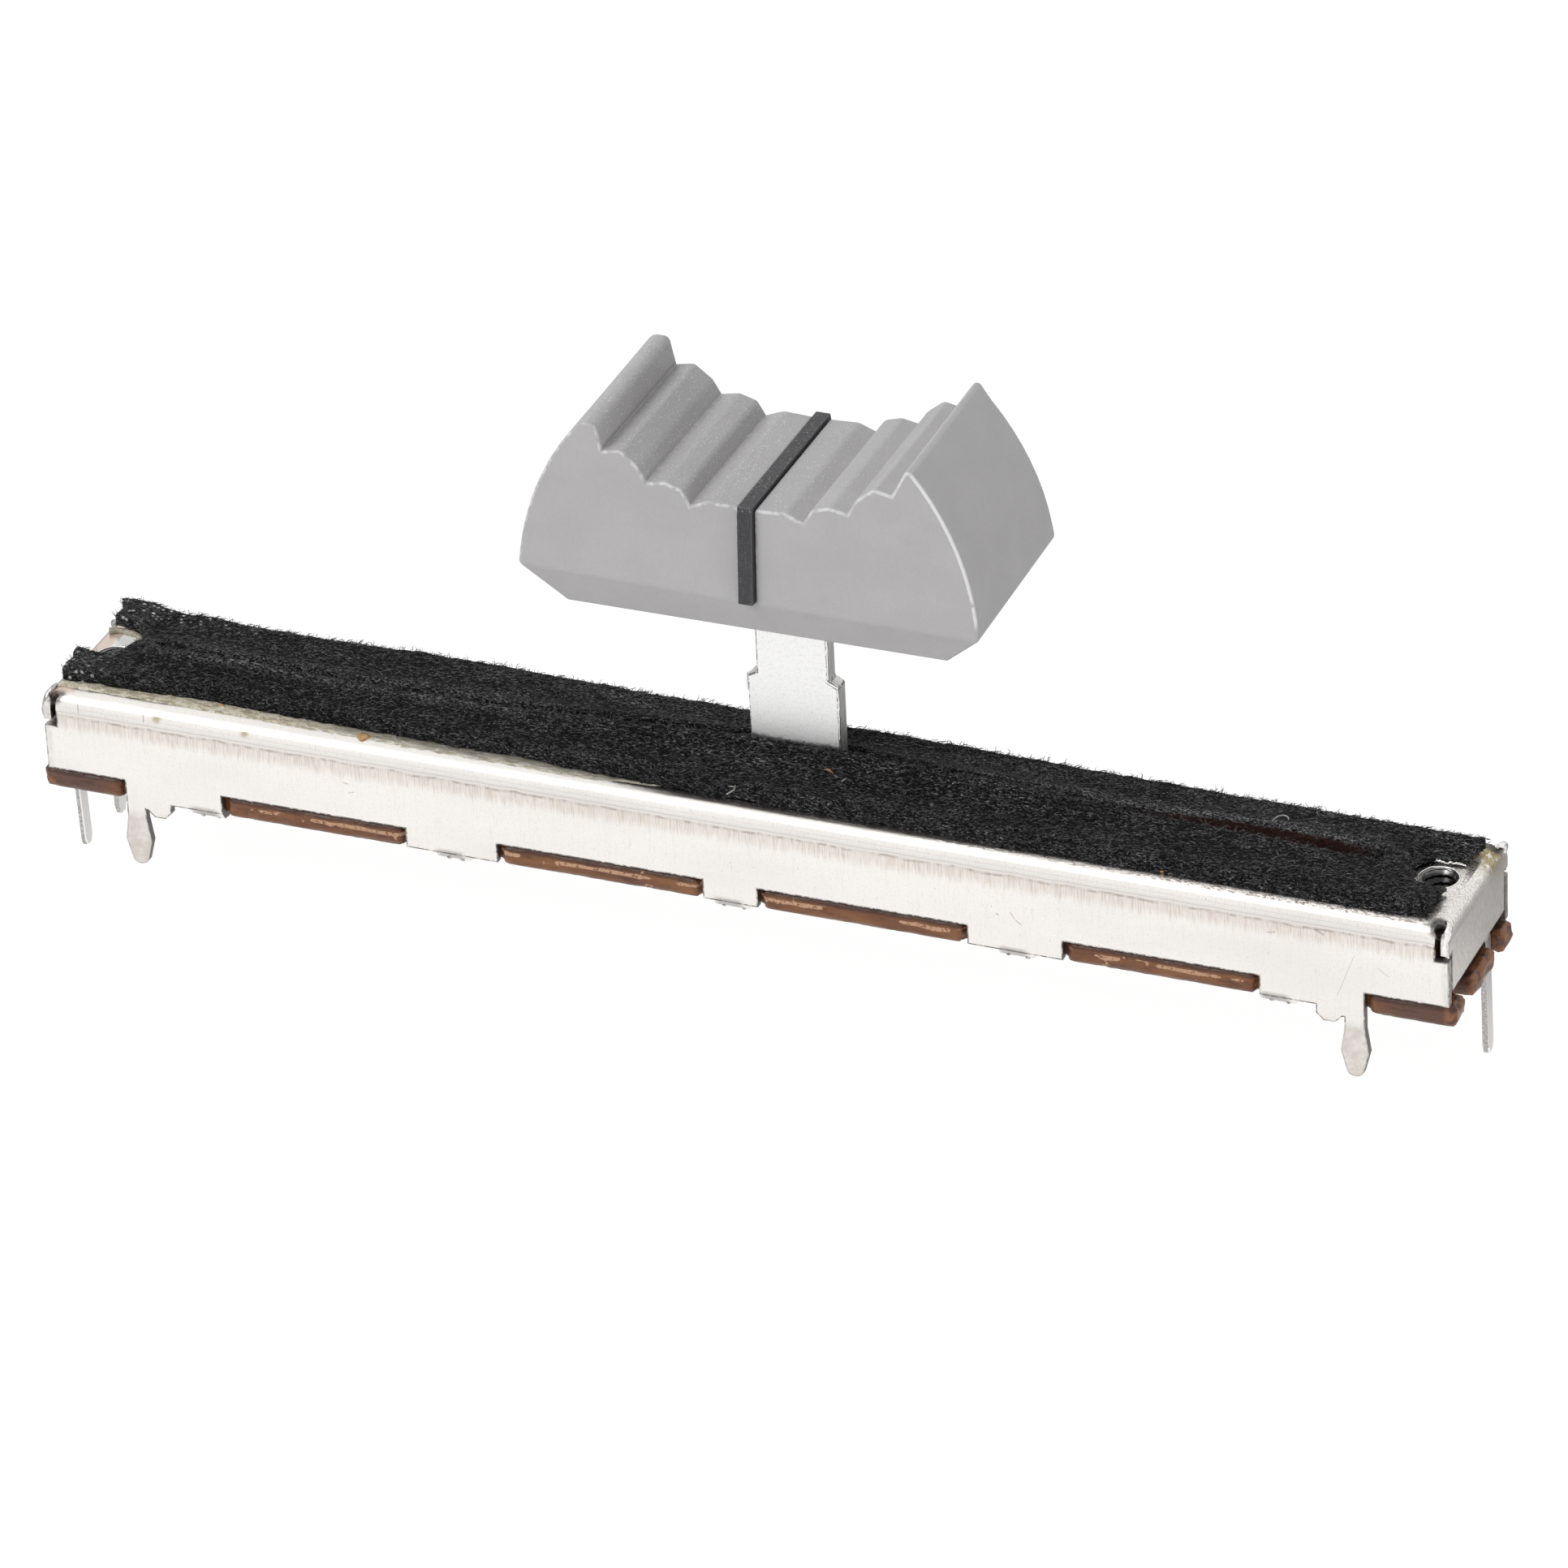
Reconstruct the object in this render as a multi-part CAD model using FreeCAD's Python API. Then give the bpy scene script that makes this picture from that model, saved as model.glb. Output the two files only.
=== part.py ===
import FreeCAD, Part
import math
import os

# Slide potentiometer with a fader cap. Millimetres, +Z up. The origin is the centre of the case's
# top plate, on its outer face. X runs along the travel, Y across it. The slider stands where the
# photo shows it, a little right of the middle.

# Travel and case
travel = 60.0
slider_rest = 2.1            # slider's place along X, from mid travel
end_allowance = 7.5          # end of travel to the case's end
case_width = 9.0
sheet = 0.4                  # tin-plate thickness
side_bend_radius = 0.95      # outer radius of the long bends
end_bend_radius = 1.0        # outer radius of the end bends
board_seat_depth = 4.38      # top face to the board's upper face
board_thickness = 1.12
lug_overlap = 0.05           # how far the lugs stop short of the board's lower face
end_wall_gap = 0.66          # end wall's lower edge to the board

# Windows between the lugs, measured from the case's end
end_window = 4.3
outer_lug = 5.4
outer_window = 10.2
middle_lug = 5.0
centre_lug = 2.94

# Corner reliefs
corner_seam = 0.15           # gap between an end wall's edge and the side wall
relief_angle = 48.0          # relief hole's place on the side bend, degrees up from the wall
relief_hole_radius = 0.28
relief_inset = 0.55          # relief hole's centre from the case's end
relief_slot_width = 0.3
relief_slot_bottom = 1.87
relief_step = 0.35           # height of the slot's foot that runs out to the end

# Solder legs and stand-off bumps, one pair at each end of each side wall
leg_tip_depth = 9.2
leg_neck_depth = 6.5
leg_belly_depth = 7.8
leg_neck_width = 1.05
leg_belly_width = 1.44
leg_tip_width = 0.9
leg_tip_curve = 0.36         # height of the tip's round end
bump_depth = 6.3
bump_width = 1.35
bump_gap = 0.1               # root notch between the leg and its bump
bump_corner = 0.38           # the bump's corners and the height of the root notch
root_overlap = 0.3           # how far legs and crimps are rooted in their wall

# Crimps that fold the lugs under the board
crimp_width = 1.8
crimp_drop = 0.4
crimp_reach = 0.8            # from the wall's outer face, inwards
crimp_curl = 0.25            # run of the curl's sloping outer face
crimp_curl_rise = 0.1        # curl's outer edge above its foot

# Mounting holes, with their formed collars
hole_radius = 1.0
hole_inset = 2.0             # hole centre from the case's end
collar_wall = 0.4
collar_depth = 1.2

# Felt dust cover and its adhesive
adhesive_thickness = 0.1
adhesive_width = 2.0
felt_thickness = 0.75
felt_inset_left = 0.4
felt_inset_right = 0.9
felt_front_left = 2.8        # felt's front edge from the centre line, at the left end
felt_front_right = 3.45
felt_back_left = 4.2
felt_back_right = 3.2
felt_lip_rise = 1.1          # how far the slit's lips stand up beside the lever
felt_lip_clearance = 0.12
felt_notch_radius = 1.45
felt_notch_reach = 1.3       # notch's tip past the mounting hole's centre

# Lever
lever_thickness = 1.0
lever_lower_width = 5.0
lever_upper_width = 4.0
lever_shoulder_low = 5.35
lever_shoulder_high = 5.62
lever_height = 15.0
lever_tip_chamfer = 0.3
lever_foot_depth = 2.5
slot_clearance = 0.3         # lever to the case's slot, all round

# Carriage and wiper
carriage_length = 7.2
carriage_clearance = 0.15
carriage_depth = 2.35
carriage_chamfer = 0.5
wiper_thickness = 0.15
wiper_finger_width = 0.3
wiper_finger_gap = 0.15
wiper_fingers = 3
wiper_air_gap = 0.05         # wiper tip to its track
wiper_inset = 0.2            # wiper's edge from the carriage's end
wiper_frame = 0.8            # width of the frame that the fingers spring from
wiper_tip_set_back = 1.1     # middle of the contact from the wiper's edge
wiper_contact_length = 0.5
wiper_curl = 0.5             # how far the finger's end turns up past the contact
stake_radius = 0.4
stake_head_radius = 0.65
stake_head_height = 0.25
stake_inset = 1.0            # stake from the carriage's end

# Board, tracks, terminals and rivets
board_overhang = 0.1         # board's end past the case's end
board_side_gap = 0.05        # board to the inside of the walls and to the walls' outer faces
tab_clearance = 0.25         # board's tabs to the lugs beside them
track_offset = 2.2           # tracks, terminals and end notches from the centre line
track_width = 1.8
print_thickness = 0.04
pad_length = 5.0
pad_inset = 1.5              # pad's outer end from the case's end
notch_width = 1.2
notch_clearance = 0.3
terminal_width = 0.8
terminal_thickness = 0.3
terminal_set_back = 0.25     # pin's outer face from the case's end
terminal_bend_radius = 0.45
terminal_point = 0.5         # length of the pin's tapered tip
terminal_tip_width = 0.45
left_front_depth = 10.05     # each pin's tip below the top plate
left_back_depth = 10.65
right_back_depth = 10.8
left_front_lean = 0.2        # how far each pin's tip leans inwards
left_back_lean = -0.05
right_back_lean = -0.12
rivet_inset = 2.6            # rivet's centre from the case's end
rivet_radius = 0.5
rivet_bore_radius = 0.3
rivet_head_radius = 0.85
rivet_head_height = 0.15

# Fader cap, with its heights measured from its lower edge
socket_depth = 4.7           # lever tip's socket above the cap's lower edge
knob_waist_rise = 2.0        # the widest section
knob_ridge_rise = 10.2       # the end ridges
knob_saddle_rise = 6.95      # the hollow at the middle
knob_half_length = 11.98
knob_half_width = 5.27
knob_ridge_half_length = 8.55
knob_ridge_half_width = 4.69
knob_end_bulge = 0.74        # how far the end faces bow outwards
knob_end_chamfer = 2.0
knob_side_chamfer = 0.8
knob_wall = 1.4
knob_roof = 1.6
knob_ridge_lean = 0.3        # width of the end ridge's top
tooth_count = 3
tooth_pitch = 2.3
first_valley = 2.95          # first serration's valley from the cap's middle
valley_depth = 0.7           # lowest point of the valleys' curve below the saddle
valley_bend_radius = 11.0    # how tightly the valleys' curve rises towards the ends
tooth_riser_width = 0.42     # steep face beside each valley
tooth_riser_height = 0.78
tooth_crown_setback = 0.95   # crown of each tooth from the next valley
tooth_crown = 0.2            # crown of each tooth above the next valley
post_length = 6.4
post_width = 3.0
post_recess = 0.5            # post's lower end above the cap's lower edge
rib_thickness = 0.9
socket_clearance = 0.1       # space over the lever's tip
line_width = 0.78
line_proud = 0.33            # on the cap's sides
line_top_proud = 0.2         # on the saddle
line_depth = 0.6

# Worked out from the sizes above
half_length = travel / 2 + end_allowance
half_width = case_width / 2
wall_inner = half_width - sheet
end_inner = half_length - sheet
board_top = -board_seat_depth
board_bottom = board_top - board_thickness
lug_bottom = board_bottom + lug_overlap
outer_lug_end = half_length - end_window
outer_lug_start = outer_lug_end - outer_lug
middle_lug_end = outer_lug_start - outer_window
middle_lug_start = middle_lug_end - middle_lug
leg_centre = outer_lug_end - leg_neck_width / 2
hole_x = half_length - hole_inset
slot_half_length = travel / 2 + lever_lower_width / 2 + slot_clearance
slot_half_width = lever_thickness / 2 + slot_clearance
felt_slit_half_width = lever_thickness / 2 + felt_lip_clearance
rivet_x = half_length - rivet_inset
print_top = board_top + print_thickness
strap_top = print_top + terminal_thickness
pin_outer = half_length - terminal_set_back
knob_bottom = lever_height + socket_clearance - socket_depth
knob_waist = knob_bottom + knob_waist_rise
knob_ridge = knob_bottom + knob_ridge_rise
knob_saddle = knob_bottom + knob_saddle_rise
carriage_top = -sheet - carriage_clearance
carriage_bottom = carriage_top - carriage_depth
side_slope = (knob_half_width - knob_ridge_half_width) / (knob_ridge - knob_waist)
mirror_signs = (-1, 1)
beyond = 1.0                 # how far cutters reach past what they cut
hair = 0.01                  # small overlap where a cutter ends on a face


def vec(x, y, z):
    """A point or direction."""
    return FreeCAD.Vector(x, y, z)


def box(x0, x1, y0, y1, z0, z1):
    """A box from its limits."""
    return Part.makeBox(x1 - x0, y1 - y0, z1 - z0, vec(x0, y0, z0))


def rod(x, y, z0, z1, radius):
    """An upright round bar."""
    return Part.makeCylinder(radius, z1 - z0, vec(x, y, z0))


def plate_xz(points, y0, y1):
    """A flat piece outlined in XZ, from y0 to y1."""
    ring = [vec(x, y0, z) for x, z in points]
    return Part.Face(Part.makePolygon(ring + ring[:1])).extrude(vec(0, y1 - y0, 0))


def plate_yz(points, x0, x1):
    """A flat piece outlined in YZ, from x0 to x1."""
    ring = [vec(x0, y, z) for y, z in points]
    return Part.Face(Part.makePolygon(ring + ring[:1])).extrude(vec(x1 - x0, 0, 0))


def plate_xy(points, z0, z1):
    """A flat piece outlined in XY, from z0 to z1."""
    ring = [vec(x, y, z0) for x, y in points]
    return Part.Face(Part.makePolygon(ring + ring[:1])).extrude(vec(0, 0, z1 - z0))


def band(path, thickness):
    """Outline of a strip of even thickness whose left side, seen along the path, is the path."""
    normals = []
    for (ax, az), (bx, bz) in zip(path, path[1:]):
        run = math.hypot(bx - ax, bz - az)
        normals.append(((bz - az) / run, (ax - bx) / run))
    inner = []
    for index, (x, z) in enumerate(path):
        before = normals[max(index - 1, 0)]
        after = normals[min(index, len(normals) - 1)]
        share = thickness / (1 + before[0] * after[0] + before[1] * after[1])
        inner.append((x + (before[0] + after[0]) * share, z + (before[1] + after[1]) * share))
    return path + inner[::-1]


def arc_points(cx, cz, radius, start, end, steps):
    """Points on an arc, angles in degrees, from the +X side towards +Z."""
    angles = [math.radians(start + (end - start) * i / steps) for i in range(steps + 1)]
    return [(cx + radius * math.cos(a), cz + radius * math.sin(a)) for a in angles]


def fuse(shapes):
    """One solid from several that meet."""
    joined = shapes[0].fuse(shapes[1:])
    return joined.removeSplitter()


def all_corners(make):
    """The shapes of make(sign_x, sign_y) for the four corners."""
    return [make(sx, sy) for sx in mirror_signs for sy in mirror_signs]


def slide_to_rest(shape):
    """Moves a slider piece, modelled at mid travel, to where it stands in the photo."""
    shape.translate(vec(slider_rest, 0, 0))
    return shape


def hood(half, top, radius, turn):
    """Face of an inverted U with round shoulders, in XZ, or in YZ where turn is true."""
    def at(across, z):
        return vec(0, across, z) if turn else vec(across, 0, z)

    slack = radius * (1 - math.sqrt(0.5))
    shoulder = half - radius
    edges = [
        Part.LineSegment(at(-half, lug_bottom), at(-half, top - radius)),
        Part.Arc(at(-half, top - radius), at(-half + slack, top - slack), at(-shoulder, top)),
        Part.LineSegment(at(-shoulder, top), at(shoulder, top)),
        Part.Arc(at(shoulder, top), at(half - slack, top - slack), at(half, top - radius)),
        Part.LineSegment(at(half, top - radius), at(half, lug_bottom)),
        Part.LineSegment(at(half, lug_bottom), at(-half, lug_bottom)),
    ]
    return Part.Face(Part.Wire([edge.toShape() for edge in edges]))


def folded_shell():
    """Top plate, side walls and end walls, with round bends, down to the lugs' lower ends."""
    def tray(inset, top):
        across = hood(half_width - inset, top, side_bend_radius - inset, True)
        along = hood(half_length - inset, top, end_bend_radius - inset, False)
        across.translate(vec(-half_length, 0, 0))
        along.translate(vec(0, -half_width, 0))
        return across.extrude(vec(travel + 2 * end_allowance, 0, 0)).common(
            along.extrude(vec(0, case_width, 0)))

    return tray(0, 0).cut(tray(sheet, -sheet))


def window_spans():
    """The windows' limits along X on one half of the case."""
    return [(centre_lug / 2, middle_lug_start), (middle_lug_end, outer_lug_start),
            (outer_lug_end, half_length + beyond)]


def wall_windows():
    """Cutters that open the windows between the lugs and raise the end walls' lower edges."""
    deep = lug_bottom - beyond
    reach = half_width + beyond
    cutters = [box(-half_length - beyond, -end_inner + hair, -wall_inner, wall_inner, deep,
                   board_top + end_wall_gap)]
    cutters.append(cutters[0].mirror(vec(0, 0, 0), vec(1, 0, 0)))
    for low, high in window_spans():
        cutters.append(box(low, high, -reach, reach, deep, board_top))
        cutters.append(box(-high, -low, -reach, reach, deep, board_top))
    return cutters


def corner_relief(sx, sy):
    """Keyhole between a side wall's upper end and the end wall, and the seam below it."""
    x = half_length - relief_inset
    half_slot = relief_slot_width / 2
    y0 = wall_inner - corner_seam
    y1 = half_width + beyond
    angle = math.radians(relief_angle)
    across = vec(0, math.cos(angle), math.sin(angle))
    bend_centre = vec(x, half_width - side_bend_radius, -side_bend_radius)
    hole = Part.makeCylinder(relief_hole_radius, side_bend_radius + sheet, bend_centre, across)
    slot_top = side_bend_radius * (math.sin(angle) - 1)
    slot = box(x - half_slot, x + half_slot, y0, y1, -relief_slot_bottom, slot_top)
    foot = box(x - half_slot, half_length + beyond, y0, y1, -relief_slot_bottom,
               -relief_slot_bottom + relief_step)
    seam = box(end_inner - hair, half_length + beyond, y0, wall_inner, board_top - beyond,
               -relief_slot_bottom)
    cutter = hole.fuse([slot, foot, seam])
    if sx < 0:
        cutter = cutter.mirror(vec(0, 0, 0), vec(1, 0, 0))
    if sy < 0:
        cutter = cutter.mirror(vec(0, 0, 0), vec(0, 1, 0))
    return cutter


def leg_and_bump(sx, sy):
    """Solder leg with a bellied shank and a round tip, and the stand-off bump inside it."""
    root = lug_bottom + root_overlap
    neck_out = outer_lug_end
    neck_in = neck_out - leg_neck_width
    swell = (leg_belly_width - leg_neck_width) / 2
    tip_half = leg_tip_width / 2
    tip_start = leg_tip_curve - leg_tip_depth
    squash = leg_tip_curve / tip_half
    tip = [(x, tip_start + z * squash) for x, z in arc_points(leg_centre, 0, tip_half, 360, 180, 8)]
    notch_top = bump_corner - bump_depth
    bump_out = neck_in - bump_gap
    bump_in = bump_out - bump_width
    outline = [(neck_out, root), (neck_out, -leg_neck_depth), (neck_out + swell, -leg_belly_depth)]
    outline += tip
    outline += [(neck_in - swell, -leg_belly_depth), (neck_in, -leg_neck_depth),
                (neck_in, notch_top), (bump_out, notch_top),
                (bump_out - bump_corner, -bump_depth), (bump_in + bump_corner, -bump_depth),
                (bump_in, notch_top), (bump_in, root)]
    points = [(sx * x, z) for x, z in outline]
    y0, y1 = sorted((sy * wall_inner, sy * half_width))
    return plate_xz(points, y0, y1)


def crimp(x, sy):
    """Short stretch of a lug that is folded under the board."""
    root = lug_bottom + root_overlap
    foot = board_bottom - crimp_drop
    tip = half_width - crimp_reach
    outline = [(half_width, root), (half_width, lug_bottom),
               (half_width - crimp_curl, foot + crimp_curl_rise), (tip, foot),
               (tip, board_bottom), (wall_inner, board_bottom), (wall_inner, root)]
    points = [(sy * y, z) for y, z in outline]
    return plate_yz(points, x - crimp_width / 2, x + crimp_width / 2)


def make_case():
    """The folded tin-plate case in one piece."""
    shell = folded_shell()
    slot = box(-slot_half_length, slot_half_length, -slot_half_width, slot_half_width,
               -beyond, beyond)
    shell = shell.cut(wall_windows() + all_corners(corner_relief) + [slot])
    collars = [rod(sx * hole_x, 0, -collar_depth, -sheet, hole_radius + collar_wall)
               for sx in mirror_signs]
    middle_crimp = (middle_lug_start + middle_lug_end) / 2
    outer_crimp = outer_lug_start + crimp_width / 2
    crimps = [crimp(x, sy) for sy in mirror_signs
              for x in (-outer_crimp, -middle_crimp, 0, middle_crimp, outer_crimp)]
    shell = fuse([shell] + collars + crimps + all_corners(leg_and_bump))
    bores = [rod(sx * hole_x, 0, -collar_depth - beyond, beyond, hole_radius)
             for sx in mirror_signs]
    return shell.cut(bores)


def felt_edge(x, left, right):
    """Distance of a felt edge from the centre line at x, between its values at the two ends."""
    share = (x + half_length) / (2 * half_length)
    return left + (right - left) * share


def felt_half(sy, left, right):
    """One side of the felt: flat at its outer edge and ends, with its lip raised at the lever."""
    bottom = adhesive_thickness
    low = -half_length + felt_inset_left
    high = half_length - felt_inset_right
    lifts = [(low, 0), (-slot_half_length, 0), (slider_rest, felt_lip_rise),
             (slot_half_length, 0), (high, 0)]
    sections = []
    for x, lift in lifts:
        outer = felt_edge(x, left, right)
        inner = felt_slit_half_width
        ring = [(outer, bottom), (outer, bottom + felt_thickness),
                (inner, bottom + felt_thickness + lift), (inner, bottom + lift)]
        ring = [vec(x, sy * y, z) for y, z in ring]
        sections.append(Part.makePolygon(ring + ring[:1]))
    return Part.makeLoft(sections, True, True)


def make_felt():
    """Felt strip with a centre slit, notched round the mounting holes."""
    bottom = adhesive_thickness
    top = bottom + felt_thickness
    front = felt_half(-1, felt_front_left, felt_front_right)
    back = felt_half(1, felt_back_left, felt_back_right)
    ends = []
    low = -half_length + felt_inset_left
    high = half_length - felt_inset_right
    for x0, x1 in ((low, -slot_half_length), (slot_half_length, high)):
        ends.append(box(x0, x1, -felt_slit_half_width, felt_slit_half_width, bottom, top))
    strip = fuse([front, back] + ends)
    notches = []
    for sx in mirror_signs:
        centre = sx * (hole_x - felt_notch_reach + felt_notch_radius)
        x0, x1 = sorted((centre, sx * (half_length + beyond)))
        notches.append(rod(centre, 0, 0, top + beyond, felt_notch_radius))
        notches.append(box(x0, x1, -felt_notch_radius, felt_notch_radius, 0, top + beyond))
    return strip.cut(notches)


def make_adhesive(sy, left, right):
    """Adhesive strip under one side of the felt, no further out than the case's flat top."""
    low = -half_length + felt_inset_left
    high = half_length - felt_inset_right
    flat_edge = half_width - side_bend_radius
    outer_low, outer_high = flat_edge, flat_edge
    if sy > 0:
        outer_low = min(felt_edge(low, left, right), flat_edge)
        outer_high = min(felt_edge(high, left, right), flat_edge)
    inner = flat_edge - adhesive_width
    points = [(low, outer_low), (high, outer_high), (high, inner), (low, inner)]
    return plate_xy([(x, sy * y) for x, y in points], 0, adhesive_thickness)


def make_board():
    """Board with tabs in the case's windows, three fingers at each end and rivet holes."""
    inner = wall_inner - board_side_gap
    outer = half_width - board_side_gap
    end = half_length + board_overhang
    body = box(-end, end, -inner, inner, board_bottom, board_top)
    tabs = []
    for low, high in window_spans():
        tab_end = min(high - tab_clearance, end)
        for sx in mirror_signs:
            x0, x1 = sorted((sx * (low + tab_clearance), sx * tab_end))
            tabs.append(box(x0, x1, -outer, outer, board_bottom, board_top))
    body = fuse([body] + tabs)
    notch_x = pin_outer - terminal_thickness - notch_clearance
    deep = board_bottom - beyond
    high = board_top + beyond
    cutters = []
    for sx in mirror_signs:
        x0, x1 = sorted((sx * notch_x, sx * (end + beyond)))
        for sy in mirror_signs:
            y = sy * track_offset
            cutters.append(box(x0, x1, y - notch_width / 2, y + notch_width / 2, deep, high))
    cutters += [rod(sx * rivet_x, sy * track_offset, deep, high, rivet_radius)
                for sx, sy, _, _ in terminal_places.values()]
    return body.cut(cutters)


def printed_strip(x0, x1, y):
    """Thin printed film on the board's upper face, open where a rivet passes."""
    film = box(x0, x1, y - track_width / 2, y + track_width / 2, board_top, print_top)
    holes = [rod(sx * rivet_x, y, board_top - beyond, board_top + beyond, rivet_radius)
             for sx in mirror_signs]
    return film.cut(holes)


def make_terminal(sx, sy, lean, tip_depth):
    """Flat strap on the board that turns down through the end notch into a pin."""
    bend_x = pin_outer - terminal_bend_radius
    bend_z = strap_top - terminal_bend_radius
    tip_x = pin_outer - lean
    path = [(rivet_x - rivet_head_radius, strap_top)]
    path += arc_points(bend_x, bend_z, terminal_bend_radius, 90, 0, 5)
    path.append((tip_x, -tip_depth))
    points = [(sx * x, z) for x, z in band(path, terminal_thickness)]
    y = sy * track_offset
    half = terminal_width / 2
    blade = plate_xz(points, y - half, y + half)
    pad = rod(sx * rivet_x, y, print_top, strap_top, rivet_head_radius)
    x0, x1 = sorted((sx * (tip_x - beyond), sx * (tip_x + beyond)))
    point_top = terminal_point - tip_depth
    cutters = []
    for side in mirror_signs:
        tip_y = y + side * terminal_tip_width / 2
        reach_y = y + side * (half + beyond)
        slant = [(tip_y, -tip_depth), (y + side * (half + hair), point_top), (reach_y, point_top),
                 (reach_y, -tip_depth - beyond), (tip_y, -tip_depth - beyond)]
        cutters.append(plate_yz(slant, x0, x1))
    cutters.append(rod(sx * rivet_x, y, print_top - beyond, strap_top + beyond, rivet_radius))
    return fuse([blade, pad]).cut(cutters)


def make_rivet(sx, sy):
    """Hollow rivet through a terminal's strap and the board."""
    x = sx * rivet_x
    y = sy * track_offset
    barrel = rod(x, y, board_bottom, strap_top, rivet_radius)
    upper = rod(x, y, strap_top, strap_top + rivet_head_height, rivet_head_radius)
    lower = rod(x, y, board_bottom - rivet_head_height, board_bottom, rivet_head_radius)
    bore = rod(x, y, board_bottom - beyond, strap_top + beyond, rivet_bore_radius)
    return fuse([barrel, upper, lower]).cut(bore)


def make_lever():
    """Steel blade with sloping shoulders and a narrower upper part."""
    low = lever_lower_width / 2
    high = lever_upper_width / 2
    half = [(low, -lever_foot_depth), (low, lever_shoulder_low), (high, lever_shoulder_high),
            (high, lever_height - lever_tip_chamfer), (high - lever_tip_chamfer, lever_height)]
    outline = half + [(-x, z) for x, z in half[::-1]]
    blade = plate_xz(outline, -lever_thickness / 2, lever_thickness / 2)
    return slide_to_rest(blade)


def chamfered(half):
    """Outline of the carriage's section with its two upper corners cut off."""
    cut = carriage_chamfer
    return [(-half, carriage_bottom), (half, carriage_bottom), (half, carriage_top - cut),
            (half - cut, carriage_top), (cut - half, carriage_top), (-half, carriage_top - cut)]


def make_carriage():
    """Moulded carriage with a pocket for the lever and two stakes that hold the wiper."""
    half = carriage_length / 2
    side = wall_inner - carriage_clearance
    body = plate_xz(chamfered(half), -side, side).common(plate_yz(chamfered(side), -half, half))
    pocket = box(-lever_lower_width / 2, lever_lower_width / 2, -lever_thickness / 2,
                 lever_thickness / 2, -lever_foot_depth, carriage_top + beyond)
    stakes = []
    head_top = carriage_bottom - wiper_thickness
    for sx in mirror_signs:
        x = sx * (half - stake_inset)
        stakes.append(rod(x, 0, head_top, carriage_bottom, stake_radius))
        stakes.append(rod(x, 0, head_top - stake_head_height, head_top, stake_head_radius))
    return slide_to_rest(fuse([body] + stakes).cut(pocket))


def make_wiper():
    """Stamped spring: a base plate under the carriage and two groups of sloping fingers."""
    half = carriage_length / 2 - wiper_inset
    top = carriage_bottom
    low = top - wiper_thickness
    pitch = wiper_finger_width + wiper_finger_gap
    group_half = (wiper_fingers * pitch - wiper_finger_gap) / 2
    side = track_offset + group_half
    base = box(-half, half, -side, side, low, top)
    cutters = [box(-half + wiper_frame, half + beyond, sy * track_offset - group_half,
                   sy * track_offset + group_half, low - beyond, top + beyond)
               for sy in mirror_signs]
    cutters += [rod(sx * (carriage_length / 2 - stake_inset), 0, low - beyond, top + beyond,
                    stake_radius) for sx in mirror_signs]
    tip_top = print_top + wiper_air_gap + wiper_thickness
    tip_end = half - wiper_tip_set_back + wiper_contact_length / 2
    path = [(-half + wiper_frame / 2, top), (-half + wiper_frame, top),
            (tip_end - wiper_contact_length, tip_top), (tip_end, tip_top),
            (tip_end + wiper_curl, tip_top + wiper_curl)]
    outline = band(path, wiper_thickness)
    fingers = []
    for sy in mirror_signs:
        for index in range(wiper_fingers):
            y = sy * track_offset - group_half + index * pitch
            fingers.append(plate_xz(outline, y, y + wiper_finger_width))
    return slide_to_rest(fuse([base.cut(cutters)] + fingers))


def valley_height(x):
    """Height of the curve that the serrations' valleys lie on."""
    return knob_saddle - valley_depth + x ** 2 / (2 * valley_bend_radius)


def knob_profile():
    """Cap's outline in XZ: chamfered foot, bowed ends and a saddle with stepped serrations."""
    half = [(0, knob_saddle), (first_valley - tooth_crown_setback, knob_saddle + tooth_crown / 2)]
    for index in range(tooth_count):
        x = first_valley + index * tooth_pitch
        after = x + tooth_pitch
        half.append((x, valley_height(x)))
        if index < tooth_count - 1:
            half.append((x + tooth_riser_width, valley_height(x) + tooth_riser_height))
            half.append((after - tooth_crown_setback, valley_height(after) + tooth_crown))
    half.append((knob_ridge_half_length - knob_ridge_lean, knob_ridge))
    half += end_bow()
    half.append((knob_half_length - knob_end_chamfer, knob_bottom))
    return half + [(-x, z) for x, z in half[:0:-1]]


def end_bow():
    """Points down a bowed end face, from the ridge to the widest section."""
    dx = knob_half_length - knob_ridge_half_length
    dz = knob_ridge - knob_waist
    chord = math.hypot(dx, dz)
    radius = chord ** 2 / (8 * knob_end_bulge) + knob_end_bulge / 2
    sweep = 2 * math.asin(chord / (2 * radius))
    middle_x = (knob_half_length + knob_ridge_half_length) / 2
    middle_z = (knob_ridge + knob_waist) / 2
    back = radius - knob_end_bulge
    centre_x = middle_x - back * dz / chord
    centre_z = middle_z - back * dx / chord
    first = math.degrees(math.atan2(knob_ridge - centre_z, knob_ridge_half_length - centre_x))
    return arc_points(centre_x, centre_z, radius, first, first - math.degrees(sweep), 10)


def cap_side(z):
    """Half width of the cap's drafted sides at a height."""
    return knob_half_width - (z - knob_waist) * side_slope


def make_insert():
    """Black line let into the cap, over the saddle and down both sides."""
    foot = knob_waist
    top = knob_saddle
    outer = [(cap_side(foot) + line_proud, foot),
             (cap_side(top) + line_proud, top - line_depth / 2),
             (cap_side(top) + line_top_proud, top + line_top_proud)]
    inner = [(cap_side(top) - line_depth, top - line_depth), (cap_side(foot) - line_depth, foot)]
    outline = outer + [(-y, z) for y, z in outer[::-1]]
    outline += [(-y, z) for y, z in inner[::-1]] + inner
    return slide_to_rest(plate_yz(outline, -line_width / 2, line_width / 2))


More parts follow.
